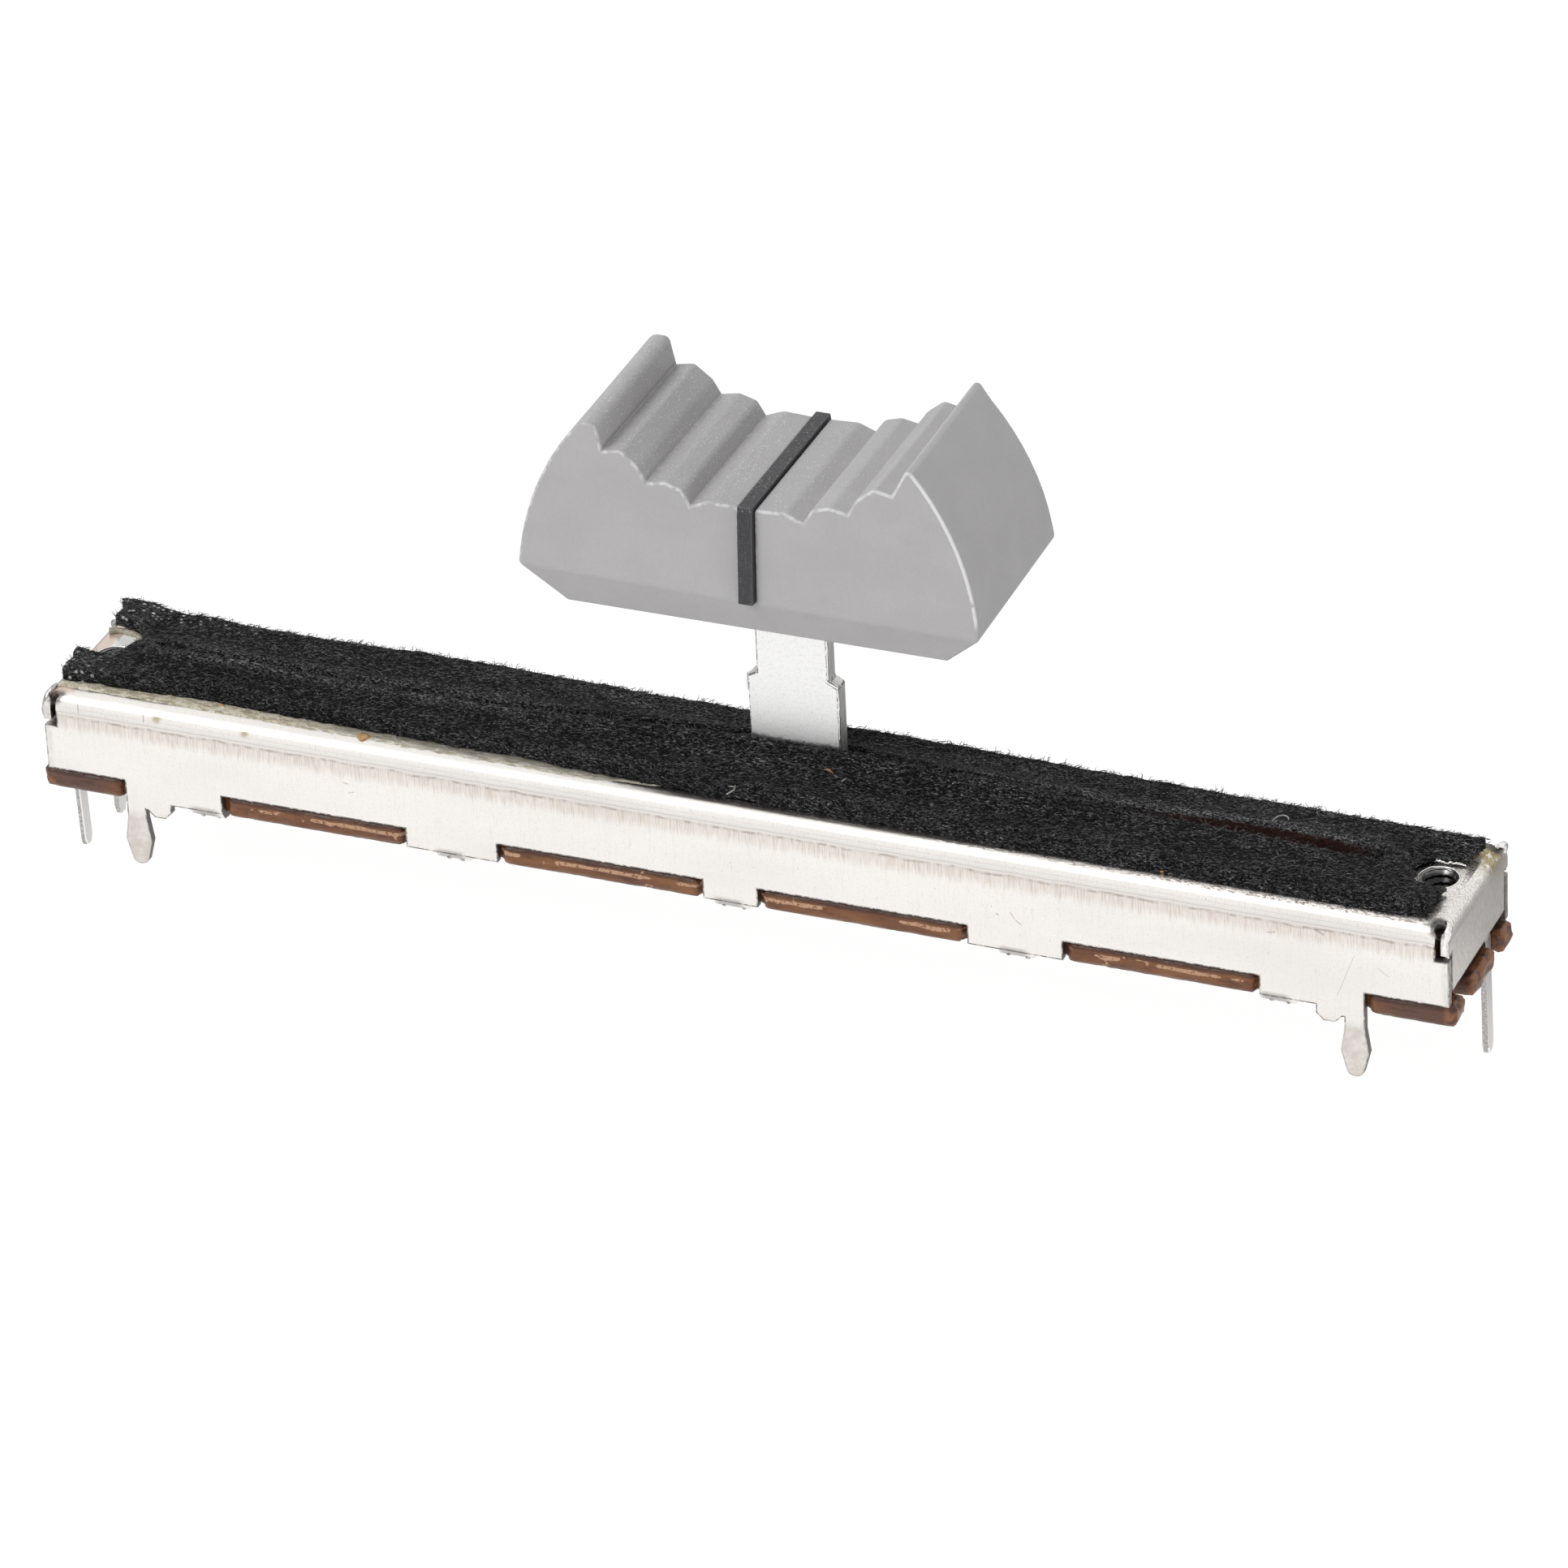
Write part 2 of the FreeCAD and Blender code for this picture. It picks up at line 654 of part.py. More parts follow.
def make_knob(insert):
    """Fader cap: serrated thumb rest, drafted sides, hollow underside and a socket post."""
    length = plate_xz(knob_profile(), -knob_half_width - beyond, knob_half_width + beyond)
    top = knob_ridge + beyond
    foot_y = knob_half_width - knob_side_chamfer
    section = [(foot_y, knob_bottom), (knob_half_width, knob_waist), (cap_side(top), top)]
    section += [(-y, z) for y, z in section[::-1]]
    cap = length.common(plate_yz(section, -knob_half_length - beyond, knob_half_length + beyond))
    roof = valley_height(first_valley) - knob_roof
    hollow_x = knob_half_length - knob_end_chamfer - knob_wall
    hollow_y = foot_y - knob_wall
    hollow = box(-hollow_x, hollow_x, -hollow_y, hollow_y, knob_bottom - beyond, roof)
    post_foot = knob_bottom + post_recess
    post = box(-post_length / 2, post_length / 2, -post_width / 2, post_width / 2, post_foot, roof)
    rib = box(-rib_thickness / 2, rib_thickness / 2, -hollow_y, hollow_y, post_foot, roof)
    socket = box(-lever_upper_width / 2, lever_upper_width / 2, -lever_thickness / 2,
                 lever_thickness / 2, knob_bottom - beyond, lever_height + socket_clearance)
    cap = cap.cut(hollow.cut(post.fuse(rib))).cut(socket)
    return slide_to_rest(cap).cut(insert)


# Each terminal: its end, its side, how far the pin's tip leans inwards and the tip's depth
terminal_places = {
    "left_front": (-1, -1, left_front_lean, left_front_depth),
    "left_back": (-1, 1, left_back_lean, left_back_depth),
    "right_back": (1, 1, right_back_lean, right_back_depth),
}


def make_all():
    """Every piece by its node's name."""
    pad_outer = half_length - pad_inset
    pad_inner = pad_outer - pad_length
    insert = make_insert()
    pieces = {
        "case": make_case(),
        "felt_cover": make_felt(),
        "adhesive_front": make_adhesive(-1, felt_front_left, felt_front_right),
        "adhesive_back": make_adhesive(1, felt_back_left, felt_back_right),
        "circuit_board": make_board(),
        "resistive_track": printed_strip(-pad_inner, pad_inner, track_offset),
        "collector_track": printed_strip(-pad_outer, pad_inner, -track_offset),
        "track_pad_left": printed_strip(-pad_outer, -pad_inner, track_offset),
        "track_pad_right": printed_strip(pad_inner, pad_outer, track_offset),
        "lever": make_lever(),
        "slider_carriage": make_carriage(),
        "wiper_contact": make_wiper(),
        "indicator_insert": insert,
        "knob": make_knob(insert),
    }
    for place, (sx, sy, lean, tip_depth) in terminal_places.items():
        pieces["terminal_" + place] = make_terminal(sx, sy, lean, tip_depth)
        pieces["rivet_" + place] = make_rivet(sx, sy)
    return pieces


os.makedirs("parts", exist_ok=True)
for name, piece in make_all().items():
    solids = piece.Solids
    shape = solids[0] if len(solids) == 1 else piece
    print(name, "solids", len(solids), "volume", round(piece.Volume, 3), "valid", piece.isValid())
    shape.exportStep(os.path.join("parts", name + ".step"))
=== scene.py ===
"""Looks of a slide potentiometer: tinplate case, felt dust cover, steel lever and grey fader cap."""

import functools
import logging
import math
from abc import ABC, abstractmethod
from collections.abc import Callable
from dataclasses import dataclass
from enum import StrEnum

import bmesh
import bpy
import numpy as np
from mathutils import Matrix, Vector


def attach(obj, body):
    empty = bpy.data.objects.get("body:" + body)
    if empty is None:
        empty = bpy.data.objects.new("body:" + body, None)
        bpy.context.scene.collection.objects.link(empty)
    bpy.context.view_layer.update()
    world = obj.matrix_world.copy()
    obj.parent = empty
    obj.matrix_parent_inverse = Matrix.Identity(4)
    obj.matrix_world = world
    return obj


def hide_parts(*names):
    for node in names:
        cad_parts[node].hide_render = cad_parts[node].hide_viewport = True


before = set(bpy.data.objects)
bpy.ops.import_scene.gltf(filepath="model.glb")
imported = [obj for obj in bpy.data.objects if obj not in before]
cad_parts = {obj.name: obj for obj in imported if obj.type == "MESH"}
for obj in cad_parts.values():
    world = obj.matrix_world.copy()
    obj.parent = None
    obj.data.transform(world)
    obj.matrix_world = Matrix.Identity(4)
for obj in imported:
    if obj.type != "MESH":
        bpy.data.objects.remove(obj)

LOG = logging.getLogger("slide_potentiometer")
MM = 0.001
CRIMP_PLACES = (-28.7, -15.1, 0.0, 15.1, 28.7)
LEVER_PLACE = 2.1

Array = np.ndarray
Piece = bpy.types.Object
Material = bpy.types.Material
Colour = tuple[float, float, float]
Place = tuple[float, float, float]
Socket = bpy.types.NodeSocket
Pair = tuple[float, float]
Pairs = tuple[Pair, ...]
Faces = list[tuple[int, ...]]


class Body(StrEnum):
    """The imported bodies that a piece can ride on."""

    HOUSING = "housing"
    SLIDER = "slider"


# Helpers for meshes


def along(pairs: Pairs, at: Array) -> Array:
    """Returns the values of a measured line at the places given."""
    return np.interp(at, [p[0] for p in pairs], [p[1] for p in pairs])


def eased(value: Array, low: float, high: float) -> Array:
    """Returns a smooth step from 0 at low to 1 at high."""
    t = np.clip((value - low) / (high - low), 0.0, 1.0)
    return t * t * (3.0 - 2.0 * t)


class Ripple:
    """Smooth random values from -1 to 1 over one or two directions, the same on every run."""

    def __init__(self, seed: int, size: float, octaves: int = 1) -> None:
        """Draws the lattice.

        Args:
            seed: fixed seed of the draws.
            size: distance between the lattice's points, in mm.
            octaves: number of layers, each half as large as the last.
        """
        self.cells = 256
        self.size = size
        self.octaves = octaves
        draws = np.random.default_rng(seed)
        self.table = draws.uniform(-1.0, 1.0, (self.cells, self.cells))

    def at(self, across: Array, down: Array | float = 0.0) -> Array:
        """Samples the ripple.

        Args:
            across: first coordinates, in mm.
            down: second coordinates, in mm.

        Returns:
            The values, in the arguments' shape.
        """
        total = 0.0
        share = 1.0
        whole = 0.0
        for layer in range(self.octaves):
            scale = 2.0**layer / self.size
            total = total + share * self.sample(np.asarray(across) * scale, np.asarray(down) * scale)
            whole += share
            share *= 0.5
        return total / whole

    def sample(self, a: Array, b: Array) -> Array:
        """Samples one layer.

        Args:
            a: first coordinates, in cells.
            b: second coordinates.

        Returns:
            The values, blended between the lattice's points.
        """
        a, b = np.broadcast_arrays(a, b)
        i = np.floor(a).astype(int)
        j = np.floor(b).astype(int)
        u = a - i
        v = b - j
        u = u * u * (3.0 - 2.0 * u)
        v = v * v * (3.0 - 2.0 * v)
        near = self.table[i % self.cells, j % self.cells]
        right = self.table[(i + 1) % self.cells, j % self.cells]
        up = self.table[i % self.cells, (j + 1) % self.cells]
        far = self.table[(i + 1) % self.cells, (j + 1) % self.cells]
        return (near * (1 - u) + right * u) * (1 - v) + (up * (1 - u) + far * u) * v


def made(name: str, points: Array, faces: Faces) -> Piece:
    """Makes a mesh object at the origin.

    Args:
        name: the object's name.
        points: its vertices, in mm.
        faces: its faces, as vertex numbers.

    Returns:
        The object, linked to the scene.
    """
    mesh = bpy.data.meshes.new(name)
    mesh.from_pydata((np.asarray(points, float) * MM).tolist(), [], faces)
    mesh.validate()
    mesh.update()
    return linked(name, mesh)


def linked(name: str, data: bpy.types.ID) -> Piece:
    """Makes an object in the scene's collection.

    Args:
        name: its name.
        data: its mesh, light or camera.

    Returns:
        The object.
    """
    obj = bpy.data.objects.new(name, data)
    bpy.context.scene.collection.objects.link(obj)
    return obj


def outward(obj: Piece, merged: float = 0.0) -> Piece:
    """Turns a piece's faces outwards.

    Args:
        obj: the piece.
        merged: points nearer to each other than this, in mm, become one first.

    Returns:
        The piece.
    """
    bm = bmesh.new()
    bm.from_mesh(obj.data)
    if merged:
        bmesh.ops.remove_doubles(bm, verts=bm.verts, dist=merged * MM)
    bmesh.ops.recalc_face_normals(bm, faces=bm.faces)
    bm.to_mesh(obj.data)
    bm.free()
    return obj


def marked(obj: Piece, name: str, domain: str, values: object) -> None:
    """Stores a number on each face or point of a piece."""
    obj.data.attributes.new(name, "FLOAT", domain).data.foreach_set("value", values)


def tube(path: Array, radii: Array, sides: int, closed: bool = False) -> tuple[Array, Faces]:
    """Sweeps a ring along a path.

    Args:
        path: the path's points, in mm.
        radii: the ring's radius at each point, in mm.
        sides: the ring's number of points.
        closed: whether the path's end meets its start.

    Returns:
        The tube's points and faces.
    """
    path = np.asarray(path, float)
    ahead = np.roll(path, -1, 0) - np.roll(path, 1, 0)
    if not closed:
        ahead[0] = path[1] - path[0]
        ahead[-1] = path[-1] - path[-2]
    ahead /= np.linalg.norm(ahead, axis=1)[:, None]
    guide = np.array((0.31, 0.17, 0.93))
    across = np.cross(ahead, guide)
    across /= np.linalg.norm(across, axis=1)[:, None]
    other = np.cross(ahead, across)
    turn = np.linspace(0.0, 2.0 * math.pi, sides, endpoint=False)
    ring = across[:, None, :] * np.cos(turn)[None, :, None] + other[:, None, :] * np.sin(turn)[None, :, None]
    points = (path[:, None, :] + ring * np.asarray(radii, float)[:, None, None]).reshape(-1, 3)
    faces: Faces = []
    count = len(path)
    for i in range(count if closed else count - 1):
        a, b = i * sides, (i + 1) % count * sides
        faces += [(a + j, a + (j + 1) % sides, b + (j + 1) % sides, b + j) for j in range(sides)]
    if not closed:
        faces.append(tuple(range(sides))[::-1])
        faces.append(tuple(range((count - 1) * sides, count * sides)))
    return points, faces


def tubes(name: str, runs: list[tuple[Array, Array, bool]], sides: int = 8) -> Piece:
    """Makes one piece of several tubes.

    Args:
        name: the piece's name.
        runs: each tube's path, its radii and whether it is closed.
        sides: the number of points round each tube.

    Returns:
        The piece, shaded smooth.
    """
    points: list[Array] = []
    faces: Faces = []
    for path, radii, closed in runs:
        start = sum(len(block) for block in points)
        block, ring = tube(path, radii, sides, closed)
        points.append(block)
        faces += [tuple(start + v for v in face) for face in ring]
    return smooth(outward(made(name, np.vstack(points), faces)), 60.0)


def curved(stations: tuple[Place, ...], count: int) -> Array:
    """Draws a smooth line.

    Args:
        stations: places that it goes through.
        count: its number of points.

    Returns:
        The points.
    """
    given = np.array(stations, float)
    padded = np.vstack((2 * given[0] - given[1], given, 2 * given[-1] - given[-2]))
    line = []
    for t in np.linspace(0.0, len(given) - 1.0, count):
        k = min(int(t), len(given) - 2)
        u = t - k
        a, b, c, d = padded[k : k + 4]
        square, cube = 2 * a - 5 * b + 4 * c - d, 3 * b - a - 3 * c + d
        line.append(0.5 * (2 * b + (c - a) * u + square * u**2 + cube * u**3))
    return np.array(line)


def traced(node: str, name: str, flat_angle: float = 0.5) -> Piece:
    """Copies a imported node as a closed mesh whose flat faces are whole.

    Args:
        node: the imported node.
        name: the copy's name.
        flat_angle: faces that meet at less than this many degrees become one.

    Returns:
        The copy. The node itself isn't touched.
    """
    bm = bmesh.new()
    bm.from_mesh(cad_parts[node].data)
    bmesh.ops.remove_doubles(bm, verts=bm.verts, dist=0.002 * MM)
    bmesh.ops.dissolve_limit(bm, angle_limit=math.radians(flat_angle), verts=bm.verts, edges=bm.edges)
    bm.verts.index_update()
    points = np.array([v.co for v in bm.verts]) / MM
    faces = [tuple(v.index for v in f.verts) for f in bm.faces]
    bm.free()
    return made(name, points, faces)


def softened(
    obj: Piece,
    width: float,
    steps: int,
    angle: float,
    share: Callable[[Vector, Vector, float], float] | None = None,
) -> None:
    """Rounds the sharp edges of a piece, and marks the rounding as its rim.

    Args:
        obj: the piece.
        width: the rounding's full width, in mm.
        steps: its number of segments.
        angle: edges sharper than this many degrees are rounded.
        share: gives an edge's share of the width from its middle in mm, its direction and its turn,
            which is negative in a hollow.
    """
    limit = math.radians(angle)
    bm = bmesh.new()
    bm.from_mesh(obj.data)
    weights = bm.edges.layers.float.new("bevel_weight_edge")
    for edge in bm.edges:
        turn = edge.calc_face_angle_signed(0.0) if len(edge.link_faces) == 2 else 0.0
        if abs(turn) > limit:
            start, end = (v.co / MM for v in edge.verts)
            run = (end - start).normalized()
            edge[weights] = share((start + end) / 2.0, run, turn) if share else 1.0
    bm.to_mesh(obj.data)
    bm.free()
    for _ in range(2):
        obj.data.materials.append(None)
    bevel = obj.modifiers.new("rounding", "BEVEL")
    bevel.width = width * MM
    bevel.segments = steps
    bevel.limit_method = "WEIGHT"
    bevel.use_clamp_overlap = True
    bevel.material = 1
    settled(obj)
    rim = [float(face.material_index) for face in obj.data.polygons]
    obj.data.polygons.foreach_set("material_index", [0] * len(rim))
    obj.data.materials.clear()
    marked(obj, "rim", "FACE", rim)


def settled(obj: Piece) -> None:
    """Turns a piece's modifiers into its mesh.

    Args:
        obj: the piece.
    """
    graph = bpy.context.evaluated_depsgraph_get()
    mesh = bpy.data.meshes.new_from_object(obj.evaluated_get(graph))
    old = obj.data
    obj.modifiers.clear()
    obj.data = mesh
    bpy.data.meshes.remove(old)


def smooth(obj: Piece, angle: float) -> Piece:
    """Shades a piece smooth.

    Args:
        obj: the piece.
        angle: edges sharper than this many degrees stay sharp.

    Returns:
        The piece.
    """
    bm = bmesh.new()
    bm.from_mesh(obj.data)
    limit = math.radians(angle)
    for face in bm.faces:
        face.smooth = True
    for edge in bm.edges:
        edge.smooth = len(edge.link_faces) == 2 and edge.calc_face_angle(0.0) < limit
    bm.to_mesh(obj.data)
    bm.free()
    evened = obj.modifiers.new("evened", "WEIGHTED_NORMAL")
    evened.keep_sharp = True
    evened.weight = 90
    settled(obj)
    return obj


def dressed(obj: Piece, finish: Material) -> Piece:
    """Gives a piece its only material.

    Args:
        obj: the piece.
        finish: the material.

    Returns:
        The piece.
    """
    obj.data.materials.clear()
    obj.data.materials.append(finish)
    return obj


def placed(obj: Piece, body: Body, slot: str, *nodes: str) -> None:
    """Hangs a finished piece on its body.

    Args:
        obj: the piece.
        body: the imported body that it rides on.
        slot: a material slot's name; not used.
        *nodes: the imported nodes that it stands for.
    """
    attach(obj, body)
    if nodes:
        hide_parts(*nodes)
    LOG.info("%s rides on %s with %d faces", obj.name, body, len(obj.data.polygons))


# Helpers for materials


class Wiring:
    """Builds a node tree with short calls."""

    def __init__(self, tree: bpy.types.NodeTree) -> None:
        """Starts the tree empty.

        Args:
            tree: the material's, world's or modifier's tree.
        """
        self.tree = tree
        tree.nodes.clear()

    def add(
        self, kind: str, inputs: dict[int | str, object] | None = None, **settings: object
    ) -> bpy.types.Node:
        """Adds a node.

        Args:
            kind: its type.
            inputs: what its sockets get, by number or name.
            **settings: its properties.

        Returns:
            The node.
        """
        node = self.tree.nodes.new(kind)
        for key, value in settings.items():
            setattr(node, key, value)
        for key, value in (inputs or {}).items():
            self.feed(node.inputs[key], value)
        return node

    def feed(self, socket: Socket, value: object) -> None:
        """Gives a socket what it works with.

        Args:
            socket: the input.
            value: another node's output, or the input's constant.
        """
        if isinstance(value, bpy.types.NodeSocket):
            self.tree.links.new(value, socket)
        elif socket.type == "RGBA":
            socket.default_value = (*value, 1.0)
        else:
            socket.default_value = value

    def maths(self, operation: str, a: object, b: object = 0.0) -> Socket:
        """Returns one operation's result on two values."""
        return self.add("ShaderNodeMath", {0: a, 1: b}, operation=operation).outputs[0]

    def absolute(self, value: object) -> Socket:
        """Returns the value without its sign."""
        return self.maths("ABSOLUTE", value)

    def most(self, a: object, b: object) -> Socket:
        """Returns the greater of two values."""
        return self.maths("MAXIMUM", a, b)


class Paint(Wiring):
    """Builds one material's node tree."""

    def __init__(self, name: str) -> None:
        """Starts an empty material.

        Args:
            name: its name.
        """
        self.material = bpy.data.materials.new(name)
        self.material.use_nodes = True
        super().__init__(self.material.node_tree)
        self.place = self.add("ShaderNodeTexCoord").outputs["Object"]
        split = self.add("ShaderNodeSeparateXYZ", {0: self.place})
        self.x, self.y, self.z = (self.maths("MULTIPLY", s, 1.0 / MM) for s in split.outputs)

    def total(self, *values: object) -> Socket:
        """Returns the sum of the values."""
        return functools.reduce(lambda whole, value: self.maths("ADD", whole, value), values)

    def product(self, *values: object) -> Socket:
        """Returns the values multiplied."""
        return functools.reduce(lambda whole, value: self.maths("MULTIPLY", whole, value), values)

    def step(self, value: object, low: float, high: float) -> Socket:
        """Returns a smooth step from 0 where value is low to 1 where it is high."""
        given = dict(enumerate((value, low, high, 0.0, 1.0)))
        return self.add("ShaderNodeMapRange", given, interpolation_type="SMOOTHSTEP").outputs[0]

    def noise(
        self,
        size: float,
        stretch: Place = (1.0, 1.0, 1.0),
        detail: float = 2.0,
        roughness: float = 0.5,
        shift: float = 0.0,
    ) -> Socket:
        """Adds cloudy noise.

        Args:
            size: width of its features, in mm.
            stretch: how many times longer they are along each axis.
            detail: number of finer layers.
            roughness: how strong the finer layers are.
            shift: moves the pattern, so that no two layers match.

        Returns:
            The noise, around 0.5.
        """
        place = self.stretched(stretch, shift)
        given = {"Vector": place, "Scale": 1.0 / (size * MM), "Detail": detail, "Roughness": roughness}
        return self.add("ShaderNodeTexNoise", given).outputs["Fac"]

    def cells(self, size: float, stretch: Place = (1.0, 1.0, 1.0), shift: float = 0.0) -> Socket:
        """Returns the distance from the middle of random cells of that size in mm."""
        given = {"Vector": self.stretched(stretch, shift), "Scale": 1.0 / (size * MM)}
        return self.add("ShaderNodeTexVoronoi", given).outputs["Distance"]

    def stretched(self, stretch: Place, shift: float) -> Socket:
        """Returns the piece's coordinates, stretched along each axis and shifted."""
        given = {"Location": (shift, shift * 0.7, shift * 1.3), "Scale": [1.0 / s for s in stretch]}
        return self.add("ShaderNodeMapping", given | {"Vector": self.place}).outputs[0]

    def blend(self, share: object, first: object, second: object) -> Socket:
        """Returns two colours mixed by the share of the second."""
        return self.add("ShaderNodeMix", {0: share, 6: first, 7: second}, data_type="RGBA").outputs[2]

    def laid(self, under: object, over: Colour, *shares: object) -> Socket:
        """Returns a colour with another laid over it by the product of the shares."""
        return self.blend(self.product(*shares), under, over)

    def between(self, share: object, first: object, second: object) -> Socket:
        """Returns two numbers mixed by the share of the second."""
        return self.add("ShaderNodeMix", {0: share, 2: first, 3: second}, data_type="FLOAT").outputs[0]

    def mark(self, name: str) -> Socket:
        """Returns a number stored on the mesh."""
        return self.add("ShaderNodeAttribute", attribute_name=name).outputs["Fac"]

    def bump(self, height: Socket, depth: float, below: Socket | None = None) -> Socket:
        """Adds relief.

        Args:
            height: the relief's height, from 0 to 1.
            depth: its depth, in mm.
            below: the normal of the relief under it.

        Returns:
            The normal.
        """
        given = {"Distance": depth * MM, "Height": height}
        return self.add("ShaderNodeBump", given if below is None else given | {"Normal": below}).outputs[0]

    def scratch(self, start: Pair, end: Pair, width: float) -> Socket:
        """Draws a straight mark on a face that looks along Y.

        Args:
            start: its first end, as X and Z in mm.
            end: its other end.
            width: its width, in mm.

        Returns:
            1 on the mark and 0 off it.
        """
        run = Vector(end) - Vector(start)
        length = run.length
        run.normalize()
        dx = self.maths("SUBTRACT", self.x, start[0])
        dz = self.maths("SUBTRACT", self.z, start[1])
        travelled = self.total(self.product(dx, run.x), self.product(dz, run.y))
        aside = self.absolute(self.total(self.product(dx, run.y), self.product(dz, -run.x)))
        half = length / 2.0
        ends = self.absolute(self.maths("SUBTRACT", travelled, half))
        return self.product(self.step(aside, width, width * 0.3), self.step(ends, half, half * 0.8))

    def finish(self, **inputs: object) -> Material:
        """Ends the tree in a Principled shader.

        Args:
            **inputs: the shader's inputs, in small letters with underscores.

        Returns:
            The material.
        """
        given = {k.replace("_", " ").title().replace("Ior", "IOR"): v for k, v in inputs.items()}
        shader = self.add("ShaderNodeBsdfPrincipled", given)
        self.add("ShaderNodeOutputMaterial", {0: shader.outputs[0]})
        return self.material


class Finish(ABC):
    """A finish of the part, made into a material once."""

    @abstractmethod
    def make(self) -> Material:
        """Returns the finish's material."""


@dataclass(frozen=True)
class Tinplate(Finish):
    """Bright tinned sheet with drawing marks under its bends."""

    bright: Colour = (0.905, 0.868, 0.828)
    white: Colour = (0.99, 0.985, 0.975)
    dull: Colour = (0.70, 0.67, 0.64)
    drawn: Colour = (0.62, 0.53, 0.46)
    shaded: Colour = (0.52, 0.49, 0.47)
    line: Colour = (0.30, 0.22, 0.18)
    beige: Colour = (0.78, 0.62, 0.52)
    black: Colour = (0.012, 0.011, 0.011)
    raw: Colour = (0.21, 0.20, 0.195)
    burr: Colour = (0.12, 0.115, 0.11)
    low_grey: Colour = (0.61, 0.565, 0.52)
    glue: Colour = (0.37, 0.27, 0.085)
    mark_top: float = 1.12
    mark_length: float = 1.15
    bend_foot: float = 0.95
    relief_place: Place = (36.95, 4.0, -0.22)

    def make(self) -> Material:
        """Paints the sheet.

        Returns:
            The material.
        """
        p = Paint("tinplate_finish")
        depth = p.maths("MULTIPLY", p.z, -1.0)
        out = p.absolute(p.y)
        side = p.step(out, 4.3, 4.45)
        bend = p.product(p.step(out, 3.5, 3.7), p.step(depth, self.bend_foot, self.bend_foot - 0.15))
        tone = self.wall_tone(p)
        zone, streaks = self.drawing_marks(p, depth, side)
        tone = p.laid(tone, self.drawn, zone, 0.22)
        tone = p.laid(tone, self.drawn, zone, streaks, 0.75)
        speckle = p.step(p.noise(0.10, (3.0, 1.0, 1.0), 4.0, 0.8, 0.6), 0.47, 0.62)
        crackle = p.product(p.step(depth, 0.03, 0.08), p.step(depth, 0.26, 0.15))
        crackle = p.product(crackle, speckle, bend, p.step(p.x, 4.0, 26.0))
        tone = p.laid(tone, self.line, crackle, 0.80)
        under = p.product(side, p.step(depth, 0.74, 0.82), p.step(depth, 1.45, 1.10))
        tone = p.laid(tone, self.shaded, under, 0.28)
        tone = p.laid(tone, self.line, self.seams(p, depth, side), 0.55)
        tone = p.laid(tone, self.line, self.blemishes(p, side), 0.50)
        # Painted shade at the crimped lugs' feet.
        tone = p.laid(tone, self.raw, self.crimp_shade(p), 0.88)
        tone = p.blend(self.stains(p), tone, self.glue)
        # Painted edge shade, partly the burr's own darkness: the rounded edges and the walls' lower outline
        # are darkened in broken patches.
        chipped = p.step(p.noise(0.30, detail=3.0, shift=2.2), 0.28, 0.50)
        tone = p.laid(tone, self.burr, p.mark("rim"), p.between(chipped, 0.35, 0.95))
        dashes = p.step(p.noise(0.35, detail=3.0, roughness=0.7, shift=3.9), 0.36, 0.56)
        tone = p.laid(tone, self.burr, p.mark("outline"), p.between(dashes, 0.25, 0.92))
        # Greyer and mottled towards the bottom, on the legs below the board.
        low = p.step(p.z, -5.95, -6.6)
        low_mottle = p.step(p.noise(0.7, detail=4.0, roughness=0.7, shift=3.3), 0.32, 0.66)
        tone = p.laid(tone, self.low_grey, low, p.between(low_mottle, 0.40, 0.95))
        # Painted shade: a black, unmetalled ring round the corner reliefs' holes.
        relief_shade = self.relief_hole_shade(p)
        tone = p.blend(relief_shade, tone, self.black)
        cut = p.mark("cut")
        tone = p.blend(cut, tone, p.blend(p.noise(0.15, (1.0, 1.0, 3.0), 3.0), self.raw, self.burr))
        ends = p.product(p.step(p.absolute(p.x), 37.0, 37.3), p.step(depth, 0.5, 0.9))
        mottle = p.step(p.noise(0.26, (1.0, 1.0, 1.6), 4.0, 0.8), 0.40, 0.62)
        tone = p.laid(tone, self.dull, ends, p.between(mottle, 0.15, 0.70))
        top = p.product(p.step(p.absolute(p.x), 34.6, 35.2), p.step(depth, 1.0, 0.6), p.step(out, 4.0, 3.7))
        sparkle = p.step(p.noise(0.11, detail=3.0, roughness=0.8, shift=1.4), 0.46, 0.64)
        top = p.product(top, p.step(p.x, 20.0, 21.0))
        tone = p.laid(tone, self.raw, top, sparkle, 0.34)
        left_bend = p.product(p.step(p.x, -35.8, -36.2), p.step(depth, 0.9, 0.5), p.step(out, 4.1, 3.8))
        tone = p.laid(tone, self.beige, left_bend, p.between(mottle, 0.8, 0.95))
        rough = p.between(p.noise(0.8), 0.14, 0.24)
        rough = p.between(zone, rough, 0.42)
        rough = p.between(p.most(cut, p.product(ends, 0.55)), rough, 0.55)
        relief = p.bump(p.noise(0.05, (1.0, 1.0, 8.0), 2.0, 0.6, 0.9), 0.004)
        relief = p.bump(p.noise(1.8, (2.0, 1.0, 1.0), 2.0, 0.5, 1.9), 0.035, relief)
        relief = p.bump(crackle, 0.012, relief)
        relief = p.bump(p.product(ends, p.noise(0.16, detail=3.0, shift=0.8)), 0.022, relief)
        relief = p.bump(p.product(top, sparkle), 0.006, relief)
